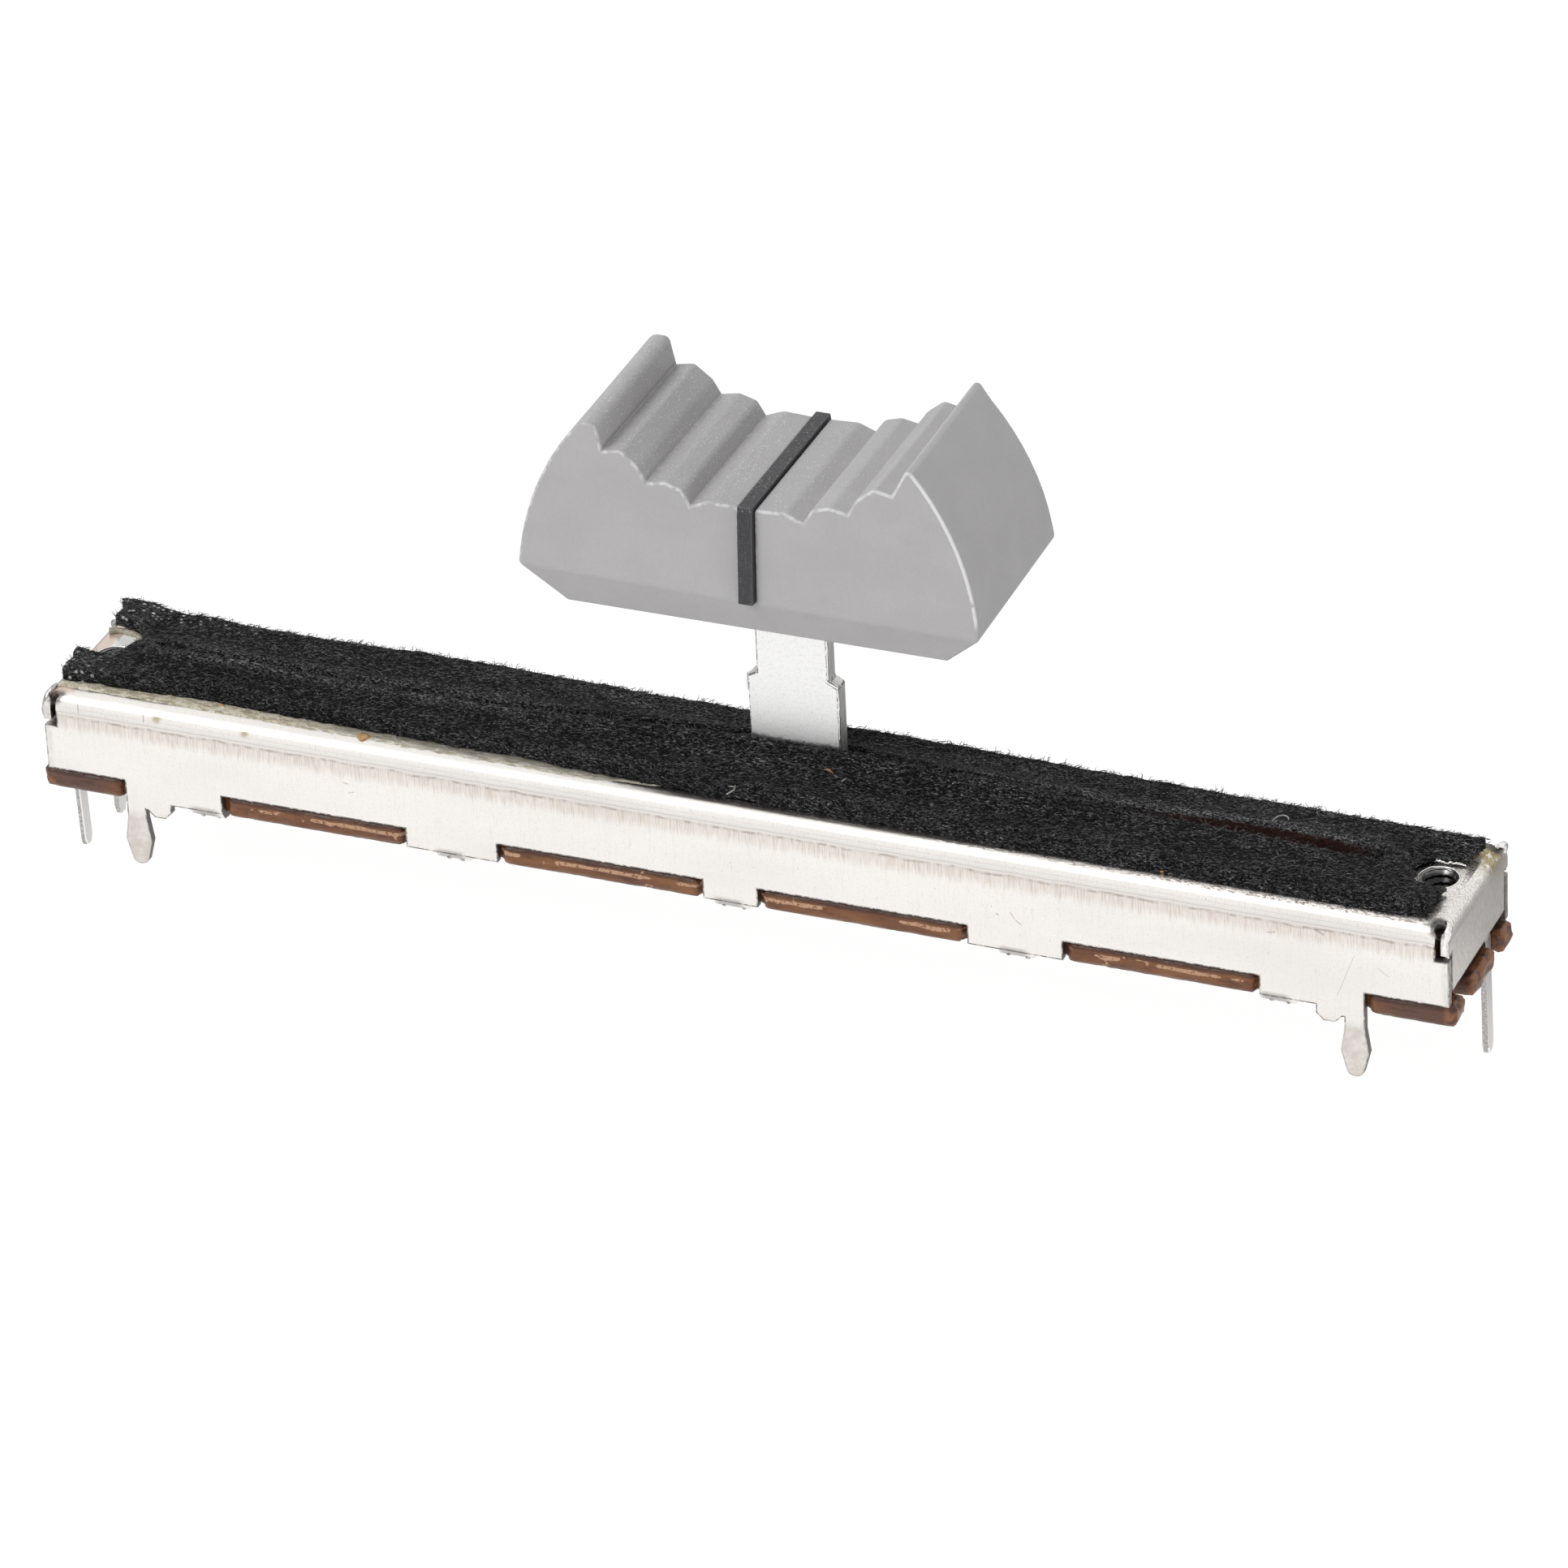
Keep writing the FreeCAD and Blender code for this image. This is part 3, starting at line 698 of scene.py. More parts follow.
        # Painted highlight: the top plate in the left notch is painted near white and mostly unmetalled, so
        # it does not reflect the felt.
        between_bends = p.product(p.step(p.x, -34.3, -34.6), p.step(p.x, -36.3, -36.0))
        notch_highlight = p.product(between_bends, p.step(depth, 0.30, 0.15), p.step(out, 2.6, 2.3))
        tone = p.blend(notch_highlight, tone, self.white)
        beige_and_highlight = p.most(p.product(left_bend, 0.6), p.product(notch_highlight, 0.9, p.step(p.y, 0.2, 1.2)))
        metal = p.maths("SUBTRACT", 1.0, p.most(relief_shade, beige_and_highlight))
        return p.finish(base_color=tone, metallic=metal, roughness=rough, normal=relief)

    def wall_tone(self, p: Paint) -> Socket:
        """Paints the sheet's ground, clouded and faintly brushed.

        Args:
            p: the sheet's paint.

        Returns:
            The colour.
        """
        clouds = p.step(p.noise(4.0, (3.0, 1.0, 1.0), 3.0), 0.35, 0.75)
        tone = p.blend(p.product(clouds, 0.35), self.bright, self.dull)
        brushed = p.step(p.noise(0.09, (1.0, 1.0, 16.0), 3.0, 0.6, 0.2), 0.50, 0.78)
        tone = p.laid(tone, self.dull, brushed, 0.30)
        ticks = p.step(p.noise(0.10, (1.0, 1.0, 3.5), 2.0, 0.6, 2.7), 0.60, 0.72)
        tone = p.laid(tone, self.dull, ticks, 0.38)
        grain = p.step(p.noise(0.13, detail=3.0, roughness=0.8, shift=4.3), 0.50, 0.66)
        return p.laid(tone, self.dull, grain, 0.30)

    def relief_hole_shade(self, p: Paint) -> Socket:
        """Finds the ring of painted shade round each corner relief's round hole.

        Args:
            p: the sheet's paint.

        Returns:
            1 on the ring and 0 off it.
        """
        x, y, z = self.relief_place
        across = p.maths("SUBTRACT", p.absolute(p.x), x)
        ahead = p.maths("SUBTRACT", p.absolute(p.y), y)
        down = p.maths("SUBTRACT", p.z, z)
        away = p.maths("SQRT", p.total(*(p.product(way, way) for way in (across, ahead, down))))
        return p.product(p.step(away, 0.74, 0.40), p.between(p.noise(0.2, detail=3.0, shift=0.5), 0.75, 1.0))

    def crimp_shade(self, p: Paint) -> Socket:
        """Paints shade on the foot of each crimped lug, where the sheet bends inwards.

        Args:
            p: the sheet's paint.

        Returns:
            The painted shade's strength.
        """
        whole: Socket | None = None
        for place in CRIMP_PLACES:
            aside = p.absolute(p.maths("SUBTRACT", p.x, place - 0.12))
            shade = p.product(p.step(aside, 0.95, 0.45), p.step(p.z, -5.12, -5.42))
            whole = shade if whole is None else p.most(whole, shade)
        return p.product(whole, p.between(p.noise(0.15, detail=3.0), 0.5, 1.0))

    def drawing_marks(self, p: Paint, depth: Socket, side: Socket) -> tuple[Socket, Socket]:
        """Finds the upright drawing marks under the bend.

        Args:
            p: the sheet's paint.
            depth: how far below the top a place is, in mm.
            side: 1 on the long walls.

        Returns:
            The band that they stand in, and their streaks.
        """
        ragged = p.noise(0.16, (1.0, 1.0, 600.0), 4.0, 0.75, 0.3)
        lower = p.total(self.mark_top + self.mark_length * 0.15, p.product(ragged, self.mark_length * 1.3))
        above = p.step(depth, self.mark_top - 0.12, self.mark_top + 0.10)
        zone = p.product(side, above, p.step(p.maths("SUBTRACT", depth, lower), 0.10, -0.55))
        streaks = p.step(p.noise(0.065, (1.0, 1.0, 26.0), 3.0, 0.75, 1.3), 0.44, 0.62)
        return zone, streaks

    def seams(self, p: Paint, depth: Socket, side: Socket) -> Socket:
        """Finds the thin line at the bend's foot and the brown one under it.

        Args:
            p: the sheet's paint.
            depth: how far below the top a place is, in mm.
            side: 1 on the long walls.

        Returns:
            The lines' strength.
        """
        wander = p.product(p.maths("SUBTRACT", p.noise(1.6, (1.0, 1.0, 50.0), 3.0), 0.5), 0.40)
        under = p.absolute(p.total(depth, wander, -self.mark_top - 0.06))
        patches = p.step(p.noise(0.45, detail=4.0, shift=0.4), 0.40, 0.62)
        brown = p.product(p.step(under, 0.10, 0.01), patches)
        foot = p.absolute(p.total(depth, p.product(wander, 0.3), -self.bend_foot))
        faint = p.product(p.step(foot, 0.06, 0.01), 0.45)
        return p.product(side, p.most(brown, faint))

    def blemishes(self, p: Paint, side: Socket) -> Socket:
        """Finds pits, hairline scratches and small smudges on the long walls.

        Args:
            p: the sheet's paint.
            side: 1 on the long walls.

        Returns:
            Their strength.
        """
        pits = p.product(p.step(p.cells(0.45, (0.5, 1.0, 1.8)), 0.11, 0.04), p.step(p.noise(2.2), 0.50, 0.60))
        marks = p.product(side, pits)
        lines = (
            ((32.75, -2.2), (31.75, -4.9), 0.02), ((33.83, -2.78), (34.5, -3.25), 0.02),
            ((30.7, -1.2), (31.2, -1.47), 0.09),
            ((14.9, -3.2), (15.15, -3.6), 0.04), ((15.15, -3.6), (15.5, -3.85), 0.04),
            ((14.15, -3.4), (14.3, -3.5), 0.06),
            ((-20.9, -2.3), (-20.6, -2.35), 0.05), ((-20.7, -2.9), (-20.3, -2.75), 0.03),
            ((28.2, -1.85), (28.7, -1.75), 0.05),
            ((-35.6, -0.30), (-35.5, -0.9), 0.05), ((-31.95, -0.2), (-31.85, -0.8), 0.05),
        )
        for start, end, width in lines:
            marks = p.most(marks, p.scratch(start, end, width))
        leg = p.product(p.step(p.z, -7.2, -7.9), p.step(p.x, -31.5, -32.2),
                        p.step(p.noise(0.5, detail=4.0), 0.42, 0.62))
        return p.most(marks, p.product(leg, 0.7))

    def stains(self, p: Paint) -> Socket:
        """Finds the glue stains at the case's ends.

        Args:
            p: the sheet's paint.

        Returns:
            Their strength.
        """
        mottle = p.step(p.noise(0.35, detail=4.0, roughness=0.7, shift=1.1), 0.35, 0.50)
        whole: Socket | None = None
        for place, reach, strength in (
            ((36.4, 3.3, 0.0), 2.4, 1.0), ((35.9, -2.7, 0.0), 0.7, 0.9), ((37.2, 2.6, -0.2), 1.2, 0.8),
            ((-36.9, -3.2, 0.0), 0.7, 0.6), ((-31.15, -4.3, -0.5), 0.40, 0.7),
            ((-26.27, -4.3, -0.5), 0.35, 0.7),
        ):
            centre = [c * MM for c in place]
            away = p.add("ShaderNodeVectorMath", {0: p.place, 1: centre}, operation="DISTANCE")
            spot = p.product(p.step(away.outputs["Value"], reach * MM, reach * 0.2 * MM), strength)
            whole = spot if whole is None else p.most(whole, spot)
        return p.product(whole, mottle)


@dataclass(frozen=True)
class Felt(Finish):
    """Black pressed felt with lengthwise fibres."""

    deep: Colour = (0.0035, 0.0035, 0.004)
    fibre: Colour = (0.066, 0.065, 0.069)
    bright_fibre: Colour = (0.36, 0.36, 0.365)
    glint: Colour = (0.42, 0.40, 0.38)
    worn_and_highlighted: Colour = (0.50, 0.50, 0.51)
    torn: Colour = (0.95, 0.94, 0.92)
    slit_shade: Colour = (0.046, 0.019, 0.016)

    def make(self) -> Material:
        """Paints the felt.

        Returns:
            The material.
        """
        p = Paint("felt_finish")
        strands = p.step(p.noise(0.075, (4.0, 1.0, 1.0), 2.0, 0.6), 0.50, 0.60)
        crossed = p.step(p.noise(0.085, (1.6, 1.0, 1.0), 2.0, 0.6, 1.0), 0.54, 0.64)
        web = p.most(strands, crossed)
        patches = p.noise(0.9, (2.5, 1.0, 1.0), 3.0, 0.6, 0.4)
        combed = p.between(p.step(p.x, -24.0, 2.0), 0.60, 1.0)
        woven = p.product(web, combed, p.between(p.step(patches, 0.30, 0.70), 0.30, 0.80))
        tone = p.blend(woven, self.deep, self.fibre)
        rear = p.product(p.step(p.y, 0.4, 2.2), 0.03)
        bright = p.step(p.total(p.noise(0.07, (3.0, 1.0, 1.0), 2.0, 0.6, 2.0), rear), 0.58, 0.67)
        shown = p.product(combed, p.between(p.step(patches, 0.40, 0.68), 0.3, 1.0))
        tone = p.laid(tone, self.bright_fibre, bright, shown)
        # Wear and painted highlight: grey fibres at the left corner, and painted brightening along the lips
        # beside the slit.
        wear_and_highlight = p.product(p.mark("wear_and_highlight"), p.step(p.noise(0.10, (1.8, 1.0, 1.0), 3.0, 0.75, 2.6), 0.50, 0.64))
        tone = p.blend(wear_and_highlight, tone, self.worn_and_highlighted)
        # Painted glints: small grey specks of light on the fibres.
        specks = p.product(p.step(p.cells(0.30, shift=2.0), 0.12, 0.03),
                           p.step(p.noise(0.8, shift=3.0), 0.52, 0.62))
        tone = p.laid(tone, self.glint, specks, 0.65)
        borders = p.most(p.step(p.y, 2.4, 3.3), p.product(p.step(p.x, -34.0, -36.0), 0.7))
        torn = p.product(p.step(p.x, -25.0, -33.0), p.step(p.noise(0.9, shift=1.6), 0.36, 0.50),
                         p.most(borders, 0.08))
        flecks = p.product(p.step(p.cells(0.34, shift=5.0), 0.36, 0.16), torn)
        tone = p.laid(tone, self.torn, flecks, 0.9)
        # Painted shade: the slit's inner walls are tinted the dark red-brown of the board seen deep down the
        # slot.
        stretch = p.product(p.step(p.x, 17.0, 24.0), p.step(p.x, 33.0, 30.0))
        slit = p.product(p.step(p.absolute(p.y), 0.60, 0.54), p.step(p.z, 1.0, 0.84), stretch)
        tone = p.laid(tone, self.slit_shade, slit, 0.92)
        relief = p.bump(web, 0.05)
        relief = p.bump(p.noise(0.10, (5.0, 1.0, 1.0), 3.0, 0.65), 0.07, relief)
        relief = p.bump(patches, 0.10, relief)
        return p.finish(base_color=tone, roughness=0.92, normal=relief, specular_ior_level=0.10)


@dataclass(frozen=True)
class CapPlastic(Finish):
    """Satin moulded plastic with a fine spark-eroded grain, painted glints on its top and a painted highlight
    along its edges.
    """

    body: Colour = (0.462, 0.452, 0.460)
    rim: Colour = (0.86, 0.85, 0.85)
    spark: Colour = (1.0, 1.0, 1.0)
    hollow: Colour = (0.05, 0.048, 0.05)
    grain: float = 0.085
    waist_half: float = 5.27
    waist_height: float = 12.4
    draft: float = 0.0707

    def make(self) -> Material:
        """Paints the cap's plastic.

        Returns:
            The material.
        """
        p = Paint("cap_finish")
        fine = p.noise(self.grain, detail=3.0, roughness=0.75)
        clouds = p.noise(2.2, (1.5, 1.0, 1.0), 4.0, 0.55, 0.5)
        pale, dim = self.shade(1.07), self.shade(0.91)
        tone = p.blend(p.step(clouds, 0.30, 0.72), pale, self.body)
        tone = p.laid(tone, dim, p.step(fine, 0.40, 0.66), 0.42)
        upright = p.noise(0.10, (1.0, 1.0, 25.0), 2.0, 0.5, 1.7)
        tone = p.laid(tone, dim, p.step(upright, 0.50, 0.72), 0.18)
        # Painted glints on the cap's upper faces, stronger towards the left, where the light comes from.
        reach = self.waist_half + self.waist_height * self.draft
        flank = p.total(reach, p.product(p.z, -self.draft), p.product(p.absolute(p.y), -1.0))
        along_cap = p.absolute(p.maths("SUBTRACT", p.x, LEVER_PLACE))
        above = p.product(p.step(flank, 0.04, 0.20), p.step(p.z, 13.5, 14.5), p.step(along_cap, 8.9, 8.4))
        painted_glints = p.step(p.noise(0.085, detail=2.0, roughness=0.6, shift=4.0), 0.60, 0.68)
        left = p.between(p.step(p.x, 9.0, 1.0), 0.35, 1.0)
        tone = p.laid(tone, self.spark, painted_glints, p.total(0.03, p.product(above, left, 0.62)))
        scuffs = p.product(p.step(p.noise(0.9, (4.0, 1.0, 0.5), 3.0, 0.6, 2.4), 0.62, 0.75),
                           p.step(p.z, 12.9, 12.2))
        tone = p.laid(tone, pale, scuffs, 0.35)
        # Painted highlight along the rounded edges, partly wear: broken into dashes and strongest at the
        # right end.
        dashes = p.noise(0.35, detail=3.0, shift=1.2)
        dashes = p.between(p.step(p.x, 6.0, 10.5), p.step(dashes, 0.40, 0.62), p.step(dashes, 0.24, 0.46))
        worn_and_highlighted = p.product(p.mark("rim"), dashes, p.step(p.z, 12.6, 13.4))
        tone = p.laid(tone, self.rim, worn_and_highlighted, p.between(p.step(p.x, 10.0, 11.4), 0.52, 0.90))
        # Painted shade: the cap's underside is painted near black, as a shadowed hollow.
        tone = p.blend(p.step(p.z, 10.46, 10.405), tone, self.hollow)
        relief = p.bump(fine, 0.014)
        relief = p.bump(clouds, 0.05, relief)
        return p.finish(base_color=tone, roughness=p.between(fine, 0.34, 0.52), normal=relief)

    def shade(self, share: float) -> Colour:
        """Returns the body's colour made lighter or darker."""
        return tuple(min(1.0, c * share) for c in self.body)


@dataclass(frozen=True)
class LinePlastic(Finish):
    """Charcoal plastic of the cap's index line, drawn with fine upright grooves."""

    body: Colour = (0.030, 0.029, 0.033)
    pale: Colour = (0.17, 0.17, 0.175)
    spark: Colour = (0.48, 0.48, 0.48)

    def make(self) -> Material:
        """Paints the line.

        Returns:
            The material.
        """
        p = Paint("line_finish")
        grooves = p.noise(0.05, (1.0, 1.0, 40.0), 2.0, 0.6)
        above = p.step(p.z, 17.2, 17.5)
        # Painted glints, stronger on the line's top, and a painted highlight on its rounded edges.
        painted_glints = p.step(p.noise(0.085, detail=2.0, shift=1.0), 0.58, 0.70)
        tone = p.blend(p.product(p.step(grooves, 0.48, 0.70), 0.22), self.body, self.pale)
        tone = p.laid(tone, self.spark, painted_glints, p.between(above, 0.12, 0.46))
        tone = p.laid(tone, self.pale, p.mark("rim"), 0.30)
        relief = p.bump(grooves, 0.02)
        relief = p.bump(p.noise(0.08, detail=3.0), 0.02, relief)
        return p.finish(base_color=tone, roughness=0.5, normal=relief)


@dataclass(frozen=True)
class LeverSteel(Finish):
    """Blanked steel with a sparkling satin face and dragged edges."""

    face: Colour = (0.975, 0.97, 0.965)
    grey: Colour = (0.66, 0.655, 0.65)
    drag: Colour = (0.70, 0.69, 0.68)
    dark: Colour = (0.16, 0.155, 0.15)
    combed: Colour = (0.90, 0.89, 0.88)

    def make(self) -> Material:
        """Paints the lever's steel.

        Returns:
            The material.
        """
        p = Paint("lever_finish")
        grains = p.noise(0.16, detail=4.0, roughness=0.9)
        tone = p.blend(p.product(p.step(grains, 0.50, 0.62), 0.34), self.face, self.grey)
        pits = p.product(p.step(p.cells(0.35), 0.14, 0.05), p.step(p.noise(0.9, shift=1.0), 0.42, 0.56))
        tone = p.laid(tone, self.drag, pits, 0.7)
        edge = p.mark("cut")
        drawn = p.noise(0.09, (1.0, 1.0, 14.0), 3.0, 0.6, 0.8)
        tone = p.blend(edge, tone, p.blend(p.step(drawn, 0.35, 0.65), self.drag, self.combed))
        # The rounded edges are darkened in patches: partly burr, partly painted edge shade.
        bitten = p.step(p.noise(0.20, detail=4.0, roughness=0.7, shift=2.6), 0.40, 0.56)
        tone = p.laid(tone, self.dark, p.mark("rim"), bitten, 0.95)
        low = p.step(p.total(p.z, p.product(p.noise(0.3, detail=3.0), -0.5)), 2.02, 1.75)
        tone = p.laid(tone, self.dark, low, p.step(p.noise(0.14, detail=3.0), 0.42, 0.55), 0.3)
        rough = p.between(edge, p.between(grains, 0.30, 0.46), 0.4)
        relief = p.bump(grains, 0.014)
        relief = p.bump(p.product(edge, drawn), 0.04, relief)
        return p.finish(base_color=tone, metallic=p.between(edge, 0.93, 1.0), roughness=rough, normal=relief)


@dataclass(frozen=True)
class BoreMetal(Finish):
    """The mounting holes' tapped bore, painted bright at its mouth and painted dark below as shade."""

    mouth: Colour = (0.24, 0.235, 0.23)
    depth: Colour = (0.012, 0.010, 0.010)

    def make(self) -> Material:
        """Paints the bore.

        Returns:
            The material.
        """
        p = Paint("bore_finish")
        lit = p.step(p.total(p.z, p.product(p.noise(0.3, detail=2.0), 0.25)), -0.22, 0.06)
        tone = p.blend(lit, self.depth, self.mouth)
        return p.finish(base_color=tone, metallic=p.between(lit, 0.3, 1.0), roughness=0.24)


@dataclass(frozen=True)
class Phenolic(Finish):
    """Brown phenolic board with chipped edges."""

    body: Colour = (0.165, 0.062, 0.026)
    amber: Colour = (0.270, 0.112, 0.044)
    deep: Colour = (0.045, 0.016, 0.010)
    end: Colour = (0.120, 0.056, 0.038)
    lit_end: Colour = (0.300, 0.125, 0.052)
    chip: Colour = (0.62, 0.38, 0.25)

    def make(self) -> Material:
        """Paints the board.

        Returns:
            The material.
        """
        p = Paint("phenolic_finish")
        clouds = p.noise(0.9, (4.0, 1.0, 1.0), 4.0, 0.6)
        tone = p.blend(p.step(clouds, 0.38, 0.72), self.body, self.amber)
        tone = p.blend(p.step(p.absolute(p.x), 33.0, 35.5), tone, self.end)
        shadows = p.step(p.noise(0.5, (3.0, 1.0, 0.8), 4.0, 0.7, 1.0), 0.50, 0.34)
        tone = p.laid(tone, self.deep, shadows, 0.5)
        # Painted shadow: the board's upper band, under the case's overhang, is darkened.
        upper = p.step(p.total(p.z, p.product(p.noise(0.6, (3.0, 1.0, 1.0), 3.0), -0.25)), -4.90, -4.72)
        tone = p.laid(tone, self.deep, upper, 0.80)
        # Painted light: lighter patches on the board's end faces, where they stand past the case.
        lit_ends = p.product(p.step(p.absolute(p.x), 37.1, 37.4),
                           p.step(p.noise(0.6, detail=3.0, shift=0.6), 0.40, 0.58))
        tone = p.laid(tone, self.lit_end, lit_ends, 0.8)
        # Small tan specks, partly chips and partly painted highlights.
        specks = p.step(p.noise(0.11, detail=3.0, roughness=0.7, shift=1.5), 0.66, 0.74)
        tone = p.laid(tone, self.chip, specks, 0.5)
        chips = p.step(p.mark("chip"), 0.35, 0.60)
        tone = p.laid(tone, self.chip, chips, p.step(p.noise(0.16, detail=3.0), 0.32, 0.50), 0.9)
        relief = p.bump(p.noise(0.12, (2.0, 1.0, 1.0), 3.0), 0.03)
        rough = p.between(chips, 0.36, 0.75)
        return p.finish(base_color=tone, roughness=rough, normal=relief, specular_ior_level=0.40)


@dataclass(frozen=True)
class GlueFilm(Finish):
    """Khaki contact glue that thins to a wrinkled silvery film."""

    khaki: Colour = (0.74, 0.69, 0.55)
    dusty: Colour = (0.40, 0.345, 0.235)
    film: Colour = (0.66, 0.635, 0.575)
    tick: Colour = (0.05, 0.045, 0.035)
    flake: Colour = (0.93, 0.92, 0.88)

    def make(self) -> Material:
        """Paints the glue.

        Returns:
            The material.
        """
        p = Paint("glue_finish")
        mottle = p.noise(0.26, (2.5, 1.0, 1.0), 4.0, 0.9)
        thick = p.blend(p.step(mottle, 0.46, 0.56), self.khaki, self.dusty)
        thin = p.step(p.total(p.x, p.product(p.noise(1.2), 8.0)), -22.0, -14.0)
        folds = p.noise(0.09, (7.0, 1.0, 1.0), 4.0, 0.75, 0.7)
        silver = p.blend(p.step(folds, 0.40, 0.62), self.film, self.dusty)
        tone = p.blend(thin, thick, silver)
        ticks = p.product(p.step(p.cells(0.75, (0.25, 1.0, 1.0)), 0.10, 0.04),
                          p.step(p.noise(1.4, shift=0.9), 0.40, 0.55))
        tone = p.laid(tone, self.tick, ticks, 0.8)
        flakes = p.step(p.noise(0.15, (2.0, 1.0, 1.0), shift=1.6), 0.60, 0.66)
        tone = p.laid(tone, self.flake, flakes, 0.6)
        relief = p.bump(folds, 0.05)
        relief = p.bump(mottle, 0.03, relief)
        rough = p.between(thin, 0.7, 0.35)
        return p.finish(base_color=tone, roughness=rough, metallic=p.product(thin, 0.55), normal=relief)


@dataclass(frozen=True)
class PinMetal(Finish):
    """Tinned strip, rough at its sheared sides, with a painted highlight along its corners."""

    face: Colour = (0.66, 0.645, 0.63)
    sheared: Colour = (0.35, 0.34, 0.33)
    corner: Colour = (0.97, 0.96, 0.95)

    def make(self) -> Material:
        """Paints the pins.

        Returns:
            The material.
        """
        p = Paint("pin_finish")
        grit = p.noise(0.12, detail=4.0, roughness=0.8)
        side = p.mark("cut")
        tone = p.blend(p.product(side, p.step(grit, 0.34, 0.60)), self.face, self.sheared)
        # Painted highlight on the rounded corners.
        tone = p.blend(p.mark("rim"), tone, self.corner)
        relief = p.bump(p.product(side, grit), 0.03)
        return p.finish(base_color=tone, metallic=1.0, roughness=0.42, normal=relief)


@dataclass(frozen=True)
class PlainMetal(Finish):
    """A small part's metal, with faint lengthwise drawing marks."""

    name: str
    body: Colour
    shade: Colour
    roughness: float = 0.4

    def make(self) -> Material:
        """Paints the metal.

        Returns:
            The material.
        """
        p = Paint(self.name)
        drawn = p.noise(0.12, (1.0, 1.0, 12.0), 3.0, 0.6)
        tone = p.blend(p.step(drawn, 0.35, 0.7), self.body, self.shade)
        rough = p.between(p.noise(0.4), self.roughness - 0.08, self.roughness + 0.08)
        return p.finish(base_color=tone, metallic=1.0, roughness=rough, normal=p.bump(drawn, 0.006))


@dataclass(frozen=True)
class PlainCoat(Finish):
    """A matte ink, glue or plastic, with mottled colour."""

    name: str
    body: Colour
    shade: Colour
    roughness: float = 0.6
    grain: float = 0.3

    def make(self) -> Material:
        """Paints the coat.

        Returns:
            The material.
        """
        p = Paint(self.name)
        mottle = p.noise(self.grain, detail=4.0, roughness=0.65)
        tone = p.blend(p.step(mottle, 0.35, 0.68), self.body, self.shade)
        rough = p.between(mottle, self.roughness - 0.1, self.roughness + 0.1)
        return p.finish(base_color=tone, roughness=rough, normal=p.bump(mottle, 0.01))


# Studio


